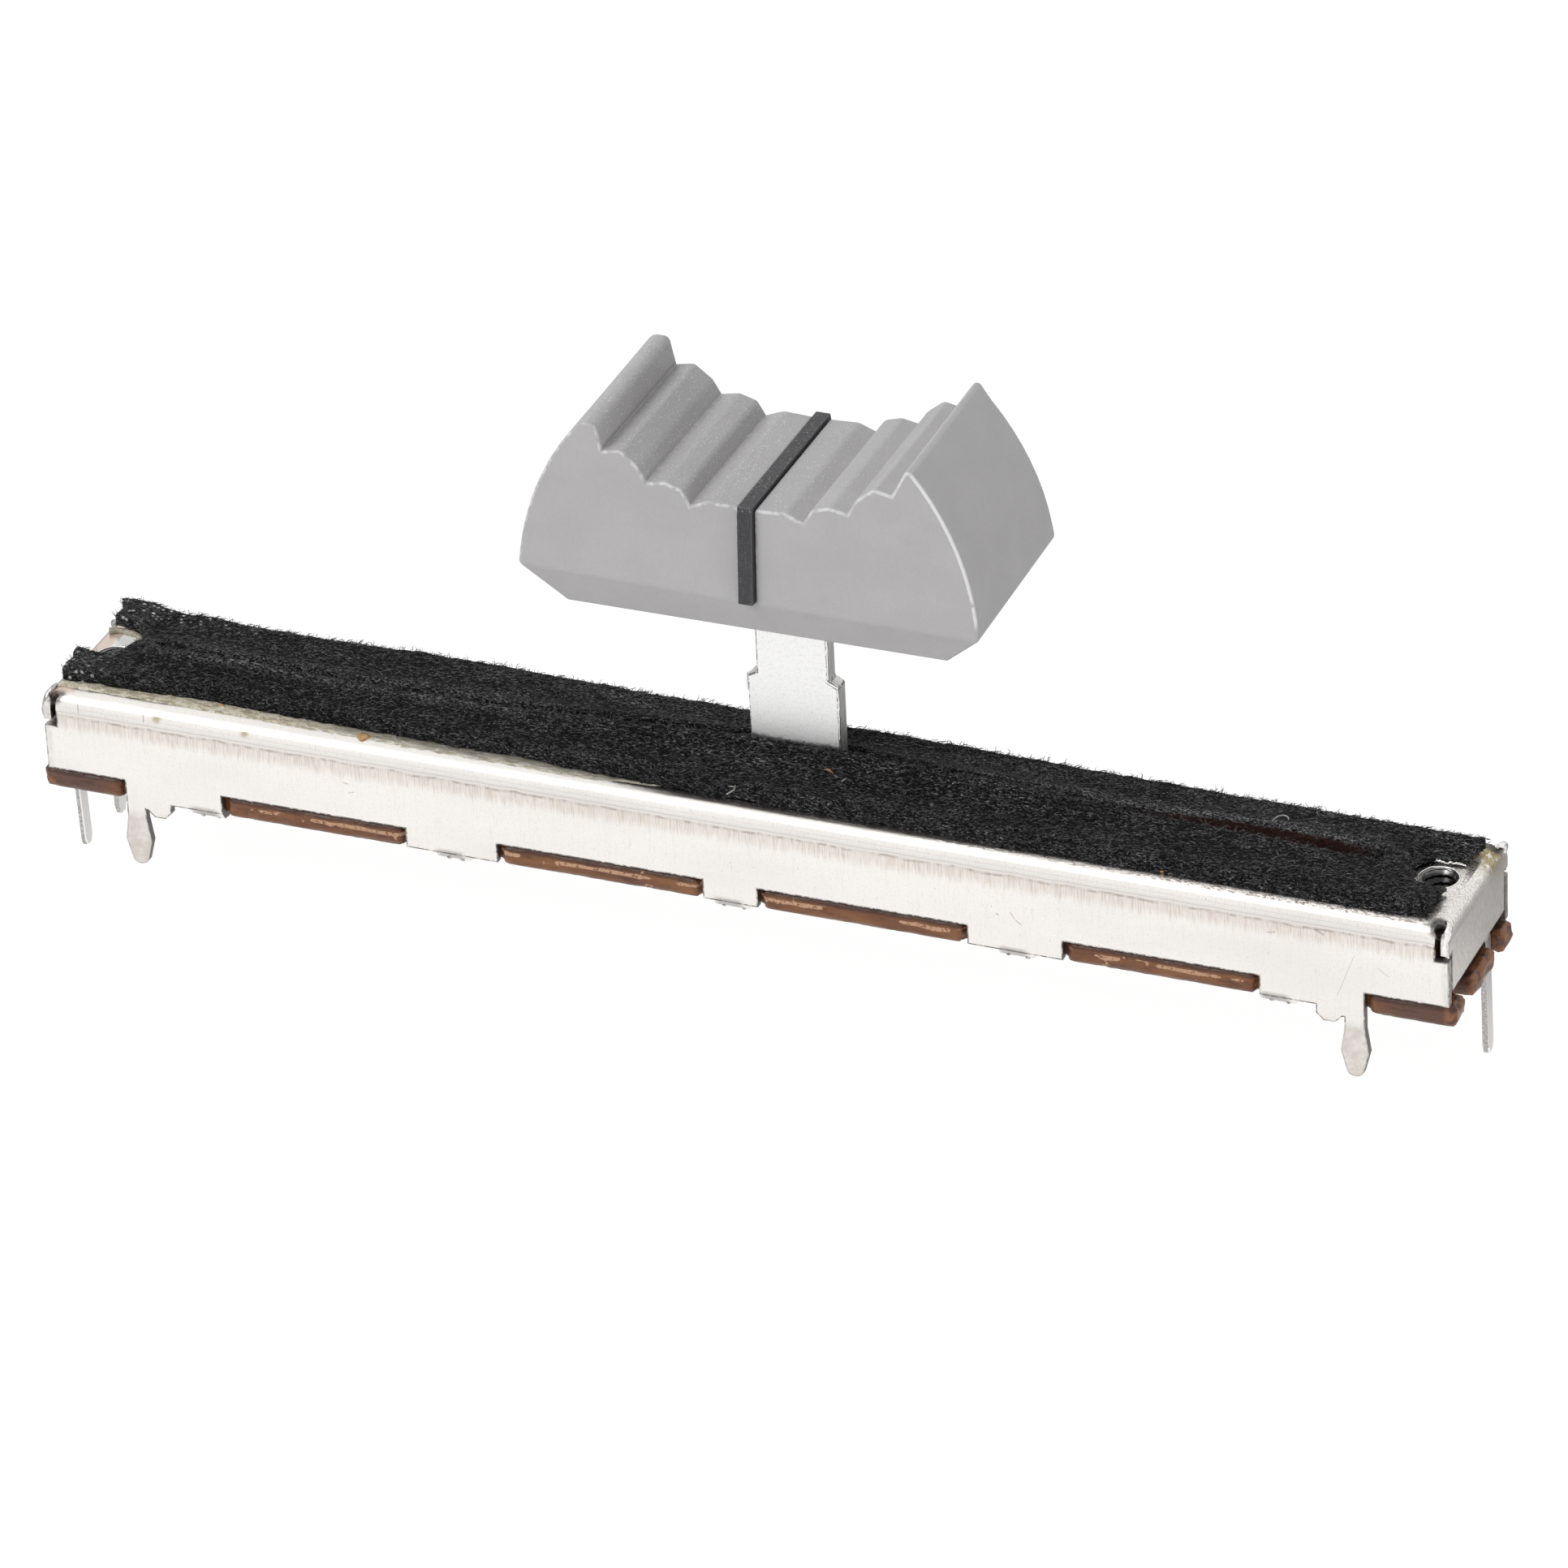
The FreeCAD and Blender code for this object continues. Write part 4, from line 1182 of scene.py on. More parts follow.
@dataclass
class Studio:
    """Camera, lights, world and floor."""

    camera_place: Place = (163.38, -373.19, 236.49)
    camera_right: Place = (0.91718, 0.39848, 0.0)
    camera_forward: Place = (-0.34418, 0.79220, -0.50395)
    camera_roll: float = -2.814
    lens: float = 217.75
    sensor: float = 36.0
    floor_depth: float = -10.85
    floor_half: float = 1500.0
    floor_lit: Colour = (0.80, 0.80, 0.79)
    floor_thin: Colour = (0.14, 0.14, 0.14)
    white: Colour = (1.0, 1.0, 1.0)
    fill: float = 0.80
    dim_side: Place = (0.72, 0.12, 0.68)
    dim_share: float = 0.35
    key_power: float = 1.35
    key_place: Place = (-260.0, -330.0, 420.0)
    key_size: Pair = (260.0, 260.0)
    side_power: float = 0.18
    side_place: Place = (260.0, -40.0, 8.0)
    side_size: Pair = (240.0, 24.0)

    def build(self) -> None:
        """Makes the whole studio."""
        self.aim_camera()
        self.light_world()
        self.hang_lights()
        self.lay_floor()
        bpy.context.scene.view_settings.view_transform = "Standard"

    def aim_camera(self) -> None:
        """Makes the camera at the photograph's angle."""
        data = bpy.data.cameras.new("camera")
        data.lens = self.lens
        data.sensor_width = self.sensor
        data.clip_start = 0.01
        data.clip_end = 10.0
        camera = linked("camera", data)
        forward = Vector(self.camera_forward).normalized()
        right = Vector(self.camera_right).normalized()
        up = right.cross(forward).normalized()
        turn = math.radians(self.camera_roll)
        right_rolled = right * math.cos(turn) + up * math.sin(turn)
        up_rolled = up * math.cos(turn) - right * math.sin(turn)
        matrix = Matrix((right_rolled, up_rolled, -forward)).transposed().to_4x4()
        matrix.translation = Vector(self.camera_place) * MM
        camera.matrix_world = matrix
        bpy.context.scene.camera = camera

    def light_world(self) -> None:
        """Makes a world that is white to the eye and in reflections, and plain as light."""
        world = bpy.data.worlds.new("studio")
        bpy.context.scene.world = world
        world.use_nodes = True
        w = Wiring(world.node_tree)
        rays = w.add("ShaderNodeLightPath").outputs
        seen = w.most(rays["Is Camera Ray"], rays["Is Glossy Ray"])
        seen = w.most(seen, rays["Is Transmission Ray"])
        place = w.add("ShaderNodeTexCoord").outputs["Generated"]
        toward = w.add("ShaderNodeVectorMath", {0: place, 1: self.dim_side}, operation="DOT_PRODUCT")
        given = {"Value": toward.outputs["Value"], "To Min": self.fill, "To Max": self.fill * self.dim_share}
        falling = w.add("ShaderNodeMapRange", given).outputs[0]
        white = w.add("ShaderNodeBackground", {"Color": self.white})
        plain = w.add("ShaderNodeBackground", {"Color": self.white, "Strength": falling})
        mix = w.add("ShaderNodeMixShader", {0: seen, 1: plain.outputs[0], 2: white.outputs[0]})
        w.add("ShaderNodeOutputWorld", {0: mix.outputs[0]})

    def hang_lights(self) -> None:
        """Hangs the soft light at the front left, and the low one that reaches the cap's end."""
        self.hang("key", self.key_size, self.key_power, self.key_place, -Vector(self.key_place))
        toward = Vector((-1.0, 0.0, 0.0))
        side = self.hang("side", self.side_size, self.side_power, self.side_place, toward)
        side.visible_glossy = False

    def hang(self, name: str, size: Pair, power: float, place: Place, toward: Vector) -> Piece:
        """Hangs one light.

        Args:
            name: its name.
            size: its width and height, in mm.
            power: its power, in watts.
            place: its place, in mm.
            toward: the direction that it shines in.

        Returns:
            The light.
        """
        data = bpy.data.lights.new(name, "AREA")
        data.shape = "RECTANGLE"
        data.size, data.size_y = size[0] * MM, size[1] * MM
        data.energy = power
        light = linked(name, data)
        light.location = Vector(place) * MM
        light.rotation_mode = "QUATERNION"
        light.rotation_quaternion = toward.to_track_quat("-Z", "Y")
        return light

    def lay_floor(self) -> None:
        """Lays the pale floor, white to the eye and keeping the part's shadow."""
        h = self.floor_half
        z = self.floor_depth
        floor = made("floor", np.array([(-h, -h, z), (h, -h, z), (h, h, z), (-h, h, z)]), [(0, 1, 2, 3)])
        p = Paint("floor_finish")
        rays = p.add("ShaderNodeLightPath").outputs
        mirrored = p.most(rays["Is Glossy Ray"], rays["Is Transmission Ray"])
        seen = p.most(rays["Is Camera Ray"], mirrored)
        pale = p.add("ShaderNodeBsdfDiffuse", {"Color": self.floor_lit})
        thin = p.add("ShaderNodeBsdfDiffuse", {"Color": self.floor_thin})
        behind = p.step(p.y, 2.0, 16.0)
        far = p.step(p.maths("MULTIPLY", p.y, -1.0), 35.0, 240.0)
        ahead = p.between(p.product(mirrored, far), 0.95, 0.60)
        strength = p.between(p.product(mirrored, behind), ahead, 0.30)
        glow = p.add("ShaderNodeEmission", {"Strength": strength})
        lit = p.add("ShaderNodeAddShader", {0: thin.outputs[0], 1: glow.outputs[0]})
        mix = p.add("ShaderNodeMixShader", {0: seen, 1: pale.outputs[0], 2: lit.outputs[0]})
        p.add("ShaderNodeOutputMaterial", {0: mix.outputs[0]})
        dressed(floor, p.material)


# The part


@dataclass
class Case:
    """The folded tinplate case, with the small forms that its shearing and tapping left."""

    corner_round: float = 0.34
    edge_share: float = 0.24
    outline_width: float = 0.065
    half_width: float = 4.5
    half_length: float = 37.5
    sheet: float = 0.4
    hole_place: float = 35.5
    hole_radius: float = 1.0
    thread_depth: float = 0.16
    thread_pitch: float = 0.42
    collar_depth: float = 1.18
    crimp_foot: float = -5.83

    def build(self) -> None:
        """Makes the case from its packed form, and its small forms."""
        finish = Tinplate().make()
        shell = traced("case", "case_shell", 0.6)
        softened(shell, self.corner_round, 3, 40.0, self.share)
        self.mark_cuts(shell)
        self.outline(shell)
        placed(dressed(smooth(shell, 35.0), finish), Body.HOUSING, "tinplate", "case")
        # The left lips and crimp burrs get a darker copy of the edge metal: painted shade.
        bright = PlainMetal("bright_edge_finish", (0.95, 0.94, 0.93), (0.62, 0.61, 0.60), 0.18).make()
        shaded_tin = PlainMetal("shaded_lip_finish", (0.60, 0.59, 0.58), (0.10, 0.095, 0.09), 0.2).make()
        for piece, metal in (
            (self.right_lips(), bright), (self.left_lips(), shaded_tin), (self.hole_rims(), bright),
            (self.crimp_burrs(), shaded_tin), (self.threads(), BoreMetal().make()),
        ):
            placed(dressed(piece, metal), Body.HOUSING, "tinplate")

    def share(self, middle: Vector, run: Vector, turn: float) -> float:
        """Works out an edge's share of the widest rounding, whole at the windows' upper corners.

        Args:
            middle: the edge's middle, in mm.
            run: its direction.
            turn: its turn, negative in a hollow.

        Returns:
            The share.
        """
        window = abs(run.y) > 0.9 and abs(middle.y) > 4.0 and -5.0 < middle.z < -3.5
        return 1.0 if window and turn < 0.0 else self.edge_share

    def outline(self, shell: Piece) -> None:
        """Borders the walls' outer faces with a narrow strip, and marks it below the bends for a dark
        outline, partly shear burr and partly painted edge shade.

        Args:
            shell: the case's sheet.
        """
        bm = bmesh.new()
        bm.from_mesh(shell.data)
        marks = bm.faces.layers.float.new("outline")
        walls = []
        for face in bm.faces:
            middle = face.calc_center_median() / MM
            long_wall = abs(face.normal.y) > 0.98 and abs(middle.y) > self.half_width - 0.05
            end_wall = abs(face.normal.x) > 0.98 and abs(middle.x) > self.half_length - 0.05
            if (long_wall or end_wall) and face.calc_area() > 0.5 * MM**2:
                walls.append(face)
        bmesh.ops.inset_individual(bm, faces=walls, thickness=self.outline_width * MM, use_even_offset=True)
        inner = set(walls)
        joined = []
        for wall in walls:
            for edge in wall.edges:
                for face in edge.link_faces:
                    if face in inner:
                        continue
                    below = face.calc_center_median().z < -1.15 * MM
                    face[marks] = 1.0 if below else 0.0
                    if not below:
                        joined.append(edge)
        bmesh.ops.dissolve_edges(bm, edges=joined, use_verts=False)
        bm.to_mesh(shell.data)
        bm.free()

    def mark_cuts(self, shell: Piece) -> None:
        """Marks the sheared edges, and clears the rim marks off the bends.

        Args:
            shell: the case's sheet.
        """
        mesh = shell.data
        rim = mesh.attributes["rim"].data
        side = self.half_width - self.sheet - 0.01
        end = self.half_length - self.sheet - 0.01
        values = []
        for face in mesh.polygons:
            c = face.center / MM
            n = face.normal
            flank = abs(c.y) > side and c.z < -1.0 and abs(n.y) < 0.5
            tip = abs(c.x) > end and abs(c.y) < side and c.z < -1.0 and abs(n.x) < 0.5
            inner = c.z > -1.3 and abs(c.y) < 3.0 and abs(c.x) < 36.6 and abs(n.z) < 0.5
            values.append(1.0 if flank or tip or inner else 0.0)
            if c.z > -0.9 and abs(c.x) < 36.5 and abs(c.y) > 3.2:
                rim[face.index].value = 0.0
        marked(shell, "cut", "FACE", values)

    def right_lips(self) -> Piece:
        """Rolls the lips of the right end wall beside its corner reliefs.

        Returns:
            The piece.
        """
        stations = (
            (37.10, -3.70, -0.04), (37.36, -4.05, -0.08), (37.41, -4.30, -0.30), (37.33, -4.36, -0.75),
            (37.28, -4.36, -1.15), (37.30, -4.36, -1.42), (37.42, -4.30, -1.68),
        )
        widths = (
            (0.0, 0.06), (0.17, 0.18), (0.33, 0.20), (0.5, 0.13), (0.67, 0.19), (0.83, 0.18), (1.0, 0.08),
        )
        return self.lips("right_lips", stations, widths)

    def left_lips(self) -> Piece:
        """Curls the lips of the left end wall beside its corner reliefs.

        Returns:
            The piece.
        """
        stations = (
            (-37.0, -3.25, -0.02), (-37.25, -3.50, -0.14), (-37.46, -3.82, -0.42), (-37.55, -4.08, -0.82),
            (-37.56, -4.24, -1.20), (-37.50, -4.28, -1.62),
        )
        widths = ((0.0, 0.05), (0.2, 0.13), (0.5, 0.17), (0.8, 0.15), (1.0, 0.10))
        return self.lips("left_lips", stations, widths)

    def lips(self, name: str, stations: tuple[Place, ...], widths: Pairs) -> Piece:
        """Makes one end's pair of lips, mirrored to the back.

        Args:
            name: the piece's name.
            stations: places along the front lip.
            widths: its radius from its start to its end.

        Returns:
            The piece.
        """
        runs = []
        for sign in (1.0, -1.0):
            path = curved(tuple((x, y * sign, z) for x, y, z in stations), 26)
            runs.append((path, along(widths, np.linspace(0.0, 1.0, 26)), False))
        return tubes(name, runs, 12)

    def hole_rims(self) -> Piece:
        """Makes the crinkled burr round each mounting hole.

        Returns:
            The piece.
        """
        turn = np.linspace(0.0, 2.0 * math.pi, 72, endpoint=False)
        runs = []
        for index, place in enumerate((-self.hole_place, self.hole_place)):
            crinkle = Ripple(40 + index, 0.35, 2).at(turn * 1.1, 0.0)
            reach = self.hole_radius + 0.02 + 0.015 * crinkle
            back = np.clip(np.sin(turn + 0.6), 0.0, 1.0)
            path = np.stack((place + reach * np.cos(turn), reach * np.sin(turn), 0.01 + 0.02 * crinkle), -1)
            runs.append((path, 0.030 + 0.03 * back + 0.012 * np.abs(crinkle), True))
        burr = np.linspace(0.0, 1.0, 34)
        torn = Ripple(44, 0.12, 2).at(burr * 2.0, 0.0)
        path = np.stack((34.65 + 1.80 * burr, 1.22 + 0.10 * burr + 0.06 * torn, 0.16 + 0.10 * torn), -1)
        runs.append((path, 0.055 + 0.035 * torn, False))
        return tubes("hole_rims", runs, 10)

    def threads(self) -> Piece:
        """Makes the threads tapped into the mounting holes' collars.

        Returns:
            The piece.
        """
        around, down = 64, 40
        points: list[Place] = []
        faces: Faces = []
        for place in (-self.hole_place, self.hole_place):
            for shell in range(2):
                for i in range(down):
                    z = -0.02 - (self.collar_depth - 0.02) * i / (down - 1)
                    for j in range(around):
                        turn = 2.0 * math.pi * j / around
                        phase = (z / self.thread_pitch + j / around) % 1.0
                        rise = 1.0 - abs(2.0 * phase - 1.0)
                        tooth = self.thread_depth * rise if 0 < i < down - 1 else 0.0
                        radius = self.hole_radius - 0.02 - tooth if shell else self.hole_radius - 0.005
                        points.append((place + radius * math.cos(turn), radius * math.sin(turn), z))
            base = len(points) - 2 * down * around
            inner = base + down * around
            for i in range(down - 1):
                for j in range(around):
                    k = (j + 1) % around
                    a, b = i * around, (i + 1) * around
                    faces.append((base + a + j, base + a + k, base + b + k, base + b + j))
                    faces.append((inner + a + j, inner + b + j, inner + b + k, inner + a + k))
            for row in (0, (down - 1) * around):
                near, far = base + row, inner + row
                faces += [(near + j, near + (j + 1) % around, far + (j + 1) % around, far + j)
                          for j in range(around)]
        return smooth(outward(made("hole_threads", np.array(points), faces)), 35.0)

    def crimp_burrs(self) -> Piece:
        """Makes the small burrs that the crimping left along each lug's foot.

        Returns:
            The piece.
        """
        runs = []
        draws = np.random.default_rng(21)
        for place in CRIMP_PLACES:
            for sign in (-1.0, 1.0):
                for offset in (-0.42, 0.48):
                    x = place + offset + draws.uniform(-0.12, 0.12)
                    y = sign * (self.half_width - 0.30)
                    size = draws.uniform(0.06, 0.11)
                    foot = self.crimp_foot + 0.20
                    tip = (x, y - sign * 0.02, self.crimp_foot - size * 0.1)
                    path = curved(((x - 0.24, y, foot), tip, (x + 0.22, y, foot)), 9)
                    runs.append((path, size * np.sin(np.linspace(0.5, math.pi - 0.5, 9)), False))
        return tubes("crimp_burrs", runs, 8)


@dataclass
class FeltCover:
    """The felt dust cover, split along the middle by the lever."""

    left: float = -37.1
    right: float = 36.6
    base: float = 0.1
    thickness: float = 0.75
    columns: int = 470
    rows: int = 22
    edge_round: float = 0.28
    slit_round: float = 0.18
    sunk: Pairs = (
        (-36.0, 0.0), (-34.0, 0.1), (-33.0, 0.30), (-30.0, 0.50), (18.0, 0.50), (21.0, 0.42), (23.5, 0.22),
        (26.0, 0.05), (33.0, 0.0),
    )
    sunk_reach: float = 1.1
    lip_reach: float = 1.0
    front_edge: Pairs = (
        (-37.1, -3.10), (-33.0, -2.97), (-28.0, -2.9), (-24.0, -3.07), (-12.0, -3.22), (-8.0, -3.45),
        (0.0, -3.62), (14.0, -3.68), (34.0, -3.75), (36.6, -3.65),
    )
    back_edge: Pairs = (
        (-37.1, 4.25), (-31.6, 4.3), (-29.0, 3.95), (-23.0, 3.95), (-20.5, 4.25), (-17.0, 4.25), (-14.0, 4.1),
        (-8.0, 3.9), (4.0, 3.9), (8.0, 3.75), (13.0, 3.55), (17.0, 3.4), (21.0, 3.25), (36.6, 3.15),
    )
    front_slit: Pairs = (
        (-37.1, -1.05), (-36.0, -1.15), (-35.3, -0.95), (-34.8, -0.45), (-34.4, 0.40), (-33.6, 0.1),
        (-33.1, 0.0), (-32.9, -0.53), (32.9, -0.53), (33.1, 0.0), (33.9, 0.1), (34.15, 0.1), (34.4, -0.65),
        (34.7, -1.0), (35.2, -1.22), (36.6, -1.30),
    )
    back_slit: Pairs = (
        (-37.1, 2.35), (-36.0, 2.30), (-35.4, 2.20), (-34.9, 1.90), (-34.4, 1.00), (-33.6, 0.1), (-33.1, 0.0),
        (-32.9, 0.53), (32.9, 0.53), (33.1, 0.0), (33.9, 0.1), (34.15, 0.1), (34.4, 0.75), (34.7, 1.05),
        (35.2, 1.22), (36.6, 1.28),
    )
    front_lip: Pairs = (
        (-37.1, 0.30), (-36.2, 0.18), (-35.2, 0.05), (-34.0, 0.40), (-33.0, 0.60), (-28.0, 0.6), (-21.6, 0.4),
        (-13.6, 0.42), (-9.0, 0.7), (-3.0, 1.0), (0.0, 1.12), (5.0, 1.2), (8.0, 0.95), (12.0, 0.95),
        (15.0, 0.85), (20.0, 0.42), (27.0, 0.25), (31.0, 0.05),
    )
    back_lip: Pairs = (
        (-37.1, 0.32), (-35.5, 0.32), (-34.0, 0.45), (-33.0, 0.6), (-28.0, 0.55), (-21.6, 0.45), (-13.6, 0.5),
        (-9.0, 0.75), (-3.0, 1.1), (0.0, 1.3), (5.0, 1.2), (8.0, 0.95), (12.0, 0.9), (20.0, 0.4),
        (27.0, 0.2), (31.0, 0.0),
    )
    right_end: Pairs = ((-3.8, -0.40), (-2.4, -0.50), (-0.8, -0.15), (1.2, -0.35), (2.2, -0.10), (3.2, 0.16))
    left_end: Pairs = (
        (-3.4, 0.12), (-2.2, 0.16), (-1.0, 0.10), (1.9, 0.5), (2.4, 0.55), (3.2, 0.50), (3.7, 0.32),
        (4.1, 0.10),
    )

    def build(self) -> None:
        """Makes the felt, its fuzz and the lint on it."""
        felt = dressed(smooth(self.weave(), 70.0), Felt().make())
        hair = PlainCoat("felt_hair_finish", (0.004, 0.004, 0.0045), (0.15, 0.15, 0.155), 0.85, 0.22).make()
        lint = PlainCoat("lint_finish", (0.30, 0.29, 0.27), (0.55, 0.53, 0.50), 0.7).make()
        nap = Strewn(seed=3, density=20.0, tilt=(-0.05, 0.22), turn=0.7, scale=(0.5, 1.2), mark="nap").spread(
            felt, Strand(length=0.42, width=0.042, lift=0.07).make(), hair, "felt_nap"
        )
        tufts = Strewn(seed=5, density=38.0, tilt=(0.1, 1.0), turn=math.pi, scale=(0.3, 1.0), mark="fray")
        fray = tufts.spread(felt, Strand(length=0.42, width=0.038, lift=0.12).make(), hair, "felt_fray")
        specks = Strewn(seed=8, density=0.5, tilt=(0.0, 0.6), turn=math.pi, scale=(0.2, 0.9)).spread(
            felt, Strand(length=0.4, width=0.02, lift=0.14).make(), lint, "felt_lint"
        )
        placed(felt, Body.HOUSING, "felt", "felt_cover")
        for piece in (nap, fray, specks):
            placed(piece, Body.HOUSING, "felt")

    def weave(self) -> Piece:
        """Makes the felt's own mesh, with its rubbed streaks and painted highlights, fray and nap stored on
        it.

        Returns:
            The piece.
        """
        x = np.linspace(self.left, self.right, self.columns)
        shares = 0.5 - 0.5 * np.cos(np.linspace(0.0, math.pi, self.rows))
        halves = (
            (along(self.front_slit, x), along(self.front_edge, x), along(self.front_lip, x), 11),
            (along(self.back_slit, x), along(self.back_edge, x), along(self.back_lip, x), 17),
        )
        points: list[Array] = []
        wear_and_highlight: list[Array] = []
        fray: list[Array] = []
        nap: list[Array] = []
        faces: Faces = []
        for slit, edge, lip, seed in halves:
            start = sum(len(block) for block in points)
            ragged = Ripple(seed, 0.5, 3).at(x) * 0.10 + Ripple(seed + 1, 2.5, 1).at(x) * 0.06
            outer = edge + ragged * np.sign(edge[0])
            top, bottom = self.surfaces(x, slit, outer, lip, shares, seed)
            points += [top.reshape(-1, 3), bottom.reshape(-1, 3)]
            inside = np.abs(top[..., 1] - slit[:, None])
            outside = np.abs(top[..., 1] - outer[:, None])
            at_end = np.minimum(x - self.left, self.right - x)[:, None] + 0.0 * inside
            rim = np.exp(-((np.minimum(outside, at_end) / 0.35) ** 2)) + 0.7 * np.exp(-((inside / 0.3) ** 2))
            rim = np.clip(rim, 0.0, 1.0)
            # Painted highlight on the lips' ridge beside the slit at the left; the greyer left corner is
            # wear; the band along the back lip is wear and painted highlight.
            lip_highlight = np.exp(-(((inside - 0.25) / 0.35) ** 2))
            lip_highlight = lip_highlight * eased(x, -6.0, -16.0)[:, None] * eased(x, -36.0, -30.0)[:, None]
            patchy = Ripple(seed + 4, 0.8, 2).at(top[..., 0], top[..., 1])
            corner = eased(x, -33.5, -37.0)[:, None] * (0.5 + 0.5 * patchy)
            worn_and_highlighted = np.clip(0.6 * lip_highlight + 0.9 * corner, 0.0, 1.0)
            if edge[0] > 0.0:
                dragged = np.exp(-(((inside - 0.35) / 0.40) ** 2))
                dragged = dragged * eased(x, 5.0, 19.0)[:, None] * eased(x, 33.5, 31.5)[:, None]
                worn_and_highlighted = np.clip(worn_and_highlighted + 0.95 * dragged, 0.0, 1.0)
            napped = np.ones_like(rim)
            napped[:, 0] = 0.0
            nap += [napped.ravel(), 0.0 * rim.ravel()]
            fray += [rim.ravel(), 0.0 * rim.ravel()]
            wear_and_highlight += [worn_and_highlighted.ravel(), 0.0 * worn_and_highlighted.ravel()]
            faces += self.skin(start, start + top[..., 0].size, edge[0] > 0.0)
        felt = made("felt_blanket", np.vstack(points), faces)
        for name, values in (("wear_and_highlight", wear_and_highlight), ("fray", fray), ("nap", nap)):
            marked(felt, name, "POINT", np.concatenate(values))
        return outward(felt, 0.0005)

    def surfaces(
        self, x: Array, slit: Array, outer: Array, lip: Array, shares: Array, seed: int
    ) -> tuple[Array, Array]:
        """Works out one half's upper and lower face.

        Args:
            x: the columns' places.
            slit: the half's edge at the slit.
            outer: its other edge.
            lip: how far its lip stands up.
            shares: the rows' places from slit to edge.
            seed: seed of its unevenness.

        Returns:
            Both faces' points, by column and row.
        """
        y = slit[:, None] + (outer - slit)[:, None] * shares[None, :]
        inside = np.abs(y - slit[:, None])
        outside = np.abs(y - outer[:, None])
        xx = np.broadcast_to(x[:, None], y.shape)
        lift = lip[:, None] * np.exp(-((inside / self.lip_reach) ** 2))
        droop = 0.12 * eased(np.abs(y), 3.3, 3.75)
        rounding = 0.45 + 0.55 * np.sqrt(1.0 - (1.0 - np.clip(outside / self.edge_round, 0.0, 1.0)) ** 2)
        turned = np.sqrt(1.0 - (1.0 - np.clip(inside / self.slit_round, 0.0, 1.0)) ** 2)
        rounding = rounding * (0.75 * (1.0 - turned) + turned)
        crisp = eased(x, -33.5, -36.0)[:, None]
        rounding = rounding + (1.0 - rounding) * 0.7 * crisp
        rounding = rounding * (1.0 - 0.10 * np.exp(-(((x - self.left) / 0.5) ** 2)))[:, None]
        near_hole = eased(np.abs(x), 33.6, 34.5)[:, None] * np.where(x > 0.0, 0.72, 0.20)[:, None]
        rounding = rounding * (1.0 - near_hole * np.exp(-((inside / 0.9) ** 2)))
        rough = Ripple(seed + 6, 3.0, 2).at(xx, y) * 0.06 + Ripple(seed + 7, 0.45, 3).at(xx / 2.0, y) * 0.05
        open_slit = eased(np.minimum(x + 34.6, 34.3 - x), 0.0, 0.6)[:, None]
        if outer[0] > 0.0:
            lift = lift - along(self.sunk, x)[:, None] * np.exp(-((inside / self.sunk_reach) ** 2))
            lift = lift + 0.15 * crisp * eased(y, 2.0, 4.2)
            droop = droop * (1.0 - crisp)
        rough = rough * eased(inside, 0.0, 0.2) * open_slit
        upper = self.base + lift - droop + self.thickness * rounding + rough
        lower = self.base + lift * 0.85 - droop
        bent = eased(x, 33.4, self.right)[:, None] * along(self.right_end, y)
        bent = bent + eased(x, -34.2, self.left)[:, None] * along(self.left_end, y)
        near_end = eased(np.minimum(x - self.left, self.right - x), 1.6, 0.0)[:, None]
        tatters = Ripple(seed + 8, 0.5, 3).at(y) * 0.13 * near_end
        moved = xx + bent + tatters * eased(inside, 0.0, 0.15)
        return np.stack((moved, y, upper), -1), np.stack((moved, y, lower), -1)

    def skin(self, top: int, bottom: int, back: bool) -> Faces:
        """Joins one half's points into faces.

        Args:
            top: number of the upper face's first point.
            bottom: number of the lower face's first point.
            back: whether this is the half behind the slit; not used.

        Returns:
            The faces of a closed shell, open only along the joined stretches of the slit.
        """
        rows = self.rows
        faces: Faces = []
        x = np.linspace(self.left, self.right, self.columns)
        joined = np.abs(along(self.front_slit, x) - along(self.back_slit, x)) < 1e-6
        for i in range(self.columns - 1):
            for j in range(rows - 1):
                a, b = i * rows + j, (i + 1) * rows + j
                faces.append((top + a, top + b, top + b + 1, top + a + 1))
                faces.append((bottom + a, bottom + a + 1, bottom + b + 1, bottom + b))
            a, b = i * rows, (i + 1) * rows
            if not (joined[i] and joined[i + 1]):
                faces.append((top + a, bottom + a, bottom + b, top + b))
            a, b = a + rows - 1, b + rows - 1
            faces.append((top + a, top + b, bottom + b, bottom + a))
        for first in (0, (self.columns - 1) * rows):
            for j in range(rows - 1):
                a = first + j
                faces.append((top + a, top + a + 1, bottom + a + 1, bottom + a))
        return faces


@dataclass
class Strand:
    """One short fibre, a thin bent thorn with its root at the origin."""

    length: float
    width: float
    lift: float

    def make(self) -> Piece:
        """Makes the fibre.

        Returns:
            The fibre.
        """
        ring = [(math.cos(t) * self.width / 2, math.sin(t) * self.width / 2) for t in (0.0, 2.1, 4.2)]
        places = [(0.0, 0.0, 0.0), (self.length * 0.5, 0.0, self.lift)]
        points = [(px, py + a, pz + b) for px, py, pz in places for a, b in ring]
        points.append((self.length, self.lift * 0.6, self.lift * 0.4))
        faces: Faces = [(2, 1, 0)]
        for k in range(3):
            n = (k + 1) % 3
            faces += [(k, n, 3 + n, 3 + k), (3 + k, 3 + n, 6)]
        return made("strand", np.array(points), faces)


